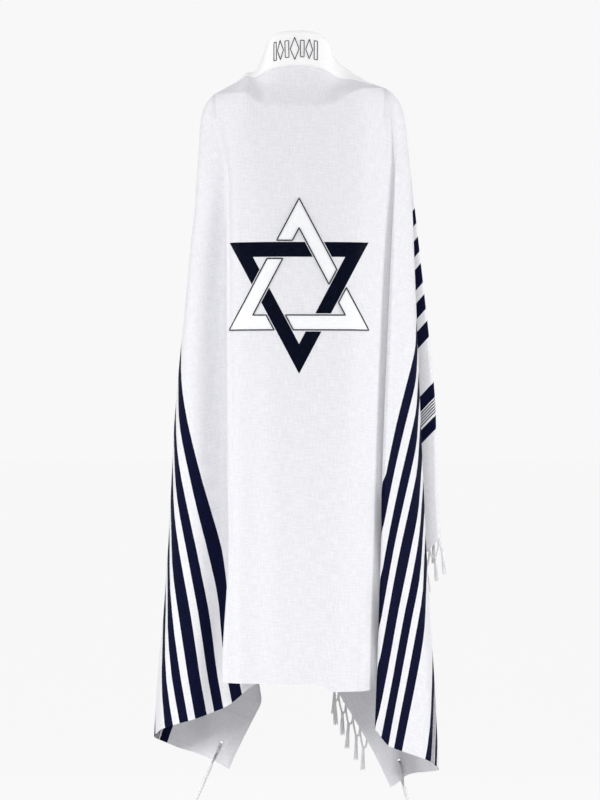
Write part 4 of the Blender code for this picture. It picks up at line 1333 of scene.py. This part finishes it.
# The fringe: pairs of twisted legs leave the short end, meet in a knot and end in a soft tail
fringe = {
    "pitch": 2.8, "leg": 3.6, "tail": 4.9, "knot": 0.34, "yarns": 12, "plies": 3, "ply": 0.13,
    "clearBack": (21.0, 11.5), "tucked": (-1.1, 0.55, 0.35),
}


def addFringe(name, fanIds, stripIds, side):
    randomly = random.Random(17 + side)
    lineIds = list(fanIds[-1]) + list(stripIds[-1, 1:])
    beforeIds = list(fanIds[-2]) + list(stripIds[-2, 1:])
    rows = []
    for last, before in zip(lineIds, beforeIds):
        if abs(abs(drape.places[last][0]) - halfLength) < 1e-6:
            away = drape.points[last] - drape.points[before]
            rows.append((drape.places[last][1], last, unit(away)))
    rows.sort(key=lambda row: row[0])
    reach = np.array([row[0] for row in rows])
    tables = (np.array([drape.points[row[1]] for row in rows]), np.array([row[2] for row in rows]))

    def along(table, v):
        return np.array([np.interp(v, reach, table[:, axis]) for axis in range(3)])

    bundle = Bundle()
    clearBack = fringe["clearBack"][0 if side < 0 else 1]
    clear = cloth["width"] - corner["patch"] - clearBack
    count = int(clear / fringe["pitch"])
    for spot in range(count):
        middle = corner["patch"] + (spot + 0.5) * clear / count
        gap = clear / count / 2
        root, away = along(tables[0], middle), along(tables[1], middle)
        lean = np.array((randomly.uniform(-0.12, 0.12), randomly.uniform(-0.12, 0.12), -1.0))
        fromCorner = cloth["width"] - middle
        tuck = 1 - smoothStep(16, 40, fromCorner) if side < 0 else 0.0
        lean = unit(lean + tuck * np.array(fringe["tucked"]))
        towards = unit(away * 0.35 * (1 - tuck) + lean * 0.65)
        knot = root + towards * fringe["leg"] * randomly.uniform(0.85, 1.1)
        for edge in (-gap + 0.12, gap - 0.12):
            begin = along(tables[0], middle + edge)
            leave = along(tables[1], middle + edge)
            line = curveThrough((
                begin - leave * 0.15,
                begin + leave * 0.5,
                (begin + knot) / 2 + leave * 0.35 + lean * 0.3,
                knot - lean * 0.2,
            ), 14)
            bundle.twisted(line, fringe["plies"], fringe["ply"], 0.55)
            bundle.lump(begin + leave * 0.06, leave, 0.16, 0.14, edge)
        for turn in (-0.12, 0.14):
            bundle.lump(knot + lean * turn, lean, fringe["knot"], 0.2, spot + turn)
        long = fringe["tail"] * randomly.uniform(0.86, 1.06)
        across, other = squareTo(lean, (0.2, 1.0, 0.1))
        for strand in range(fringe["yarns"]):
            angle = 2.4 * strand
            out = (math.cos(angle) * across + math.sin(angle) * other)
            out = out * math.sqrt(strand / fringe["yarns"])
            wander = randomly.uniform(-0.12, 0.12)
            line = []
            for share in (0.0, 0.16, 0.36, 0.58, 0.8, 1.0):
                wide = 0.18 + 0.42 * share**0.8
                bend = across * (wander * math.sin(3.1 * share + strand))
                line.append(knot + lean * (0.15 + share * long * (1 - 0.03 * (strand % 4)))
                            + out * wide + bend)
            bundle.tube(line, (0.08, 0.1, 0.1, 0.095, 0.085, 0.06), 4)
    return bundle.build(name + "_tassels", woolYarn, name)


fringes = [
    addFringe("fringe_right", rightIds, rightStripIds, 1),
    addFringe("fringe_left", leftIds, leftStripIds, -1),
]
print("fringe made")

# Stage: a plain pale floor that runs out of sight, and soft studio light
stage = {"floorZ": -1.93, "wide": 120.0, "tone": "#F8F8F8", "daylight": 0.46, "glow": 0.93}


def addFloor():
    bpy.ops.mesh.primitive_circle_add(
        vertices=96, radius=stage["wide"] / 2, fill_type="NGON", location=(0, 0, stage["floorZ"])
    )
    floor = bpy.context.active_object
    floor.name = "studio_floor"
    bpy.ops.object.transform_apply(location=True, rotation=False, scale=True)
    material, tree, surface = newMaterial("painted_studio_floor")
    tone = linear(stage["tone"])
    setSockets(tree, surface, {
        "Base Color": tuple(0.1 * c for c in tone[:3]) + (1,), "Roughness": 0.95,
        "Specular IOR Level": 0.0, "Emission Color": tone, "Emission Strength": stage["glow"],
    })
    floor.data.materials.append(material)
    floor.visible_diffuse = False  # or its glow from below would fill every fold


# A far soft key from above, so that the back panel shades the inner faces below its hem
keyLight = {"from": (-0.5, -5.0, 3.2), "strength": 1.18, "spread": 22.0}

Lamp = namedtuple("Lamp", "name place aim size power")
lamps = (
    Lamp("low", (-0.2, -1.7, -1.8), (-0.05, 0.0, -1.6), 0.8, 8.5),
    Lamp("left", (-3.2, -0.9, -0.7), (0.0, 0.0, -0.8), 1.2, 45.0),
    Lamp("right", (3.2, -0.7, -0.7), (0.0, 0.0, -0.8), 1.2, 52.0),
    Lamp("behind", (0.4, 3.2, 0.6), (0.0, 0.0, -0.8), 2.6, 16.0),
)


def addLights():
    for lamp in lamps:
        bpy.ops.object.light_add(
            type="AREA", location=lamp.place, rotation=aimed(lamp.place, lamp.aim)
        )
        light = bpy.context.active_object
        light.name = lamp.name + "_softbox"
        light.data.size = lamp.size
        light.data.energy = lamp.power
        light.visible_camera = False
    bpy.ops.object.light_add(type="SUN", rotation=aimed(keyLight["from"], (0.0, 0.0, 0.0)))
    key = bpy.context.active_object
    key.name = "key_light"
    key.data.energy = keyLight["strength"]
    key.data.angle = math.radians(keyLight["spread"])
    world = bpy.data.worlds.new("studio")
    world.use_nodes = True
    tree = world.node_tree
    backdrop = tree.nodes["Background"]
    backdrop.inputs["Color"].default_value = linear(stage["tone"])
    seen = addNode(tree, "LightPath", {}).outputs["Is Camera Ray"]
    strength = addNode(
        tree, "MapRange", {"Value": seen, "To Min": stage["daylight"], "To Max": 1.0}
    )
    tree.links.new(strength.outputs[0], backdrop.inputs["Strength"])
    bpy.context.scene.world = world
    bpy.context.scene.view_settings.view_transform = "Standard"  # keeps the whites and the navy


addFloor()
addLights()
print("stage made")
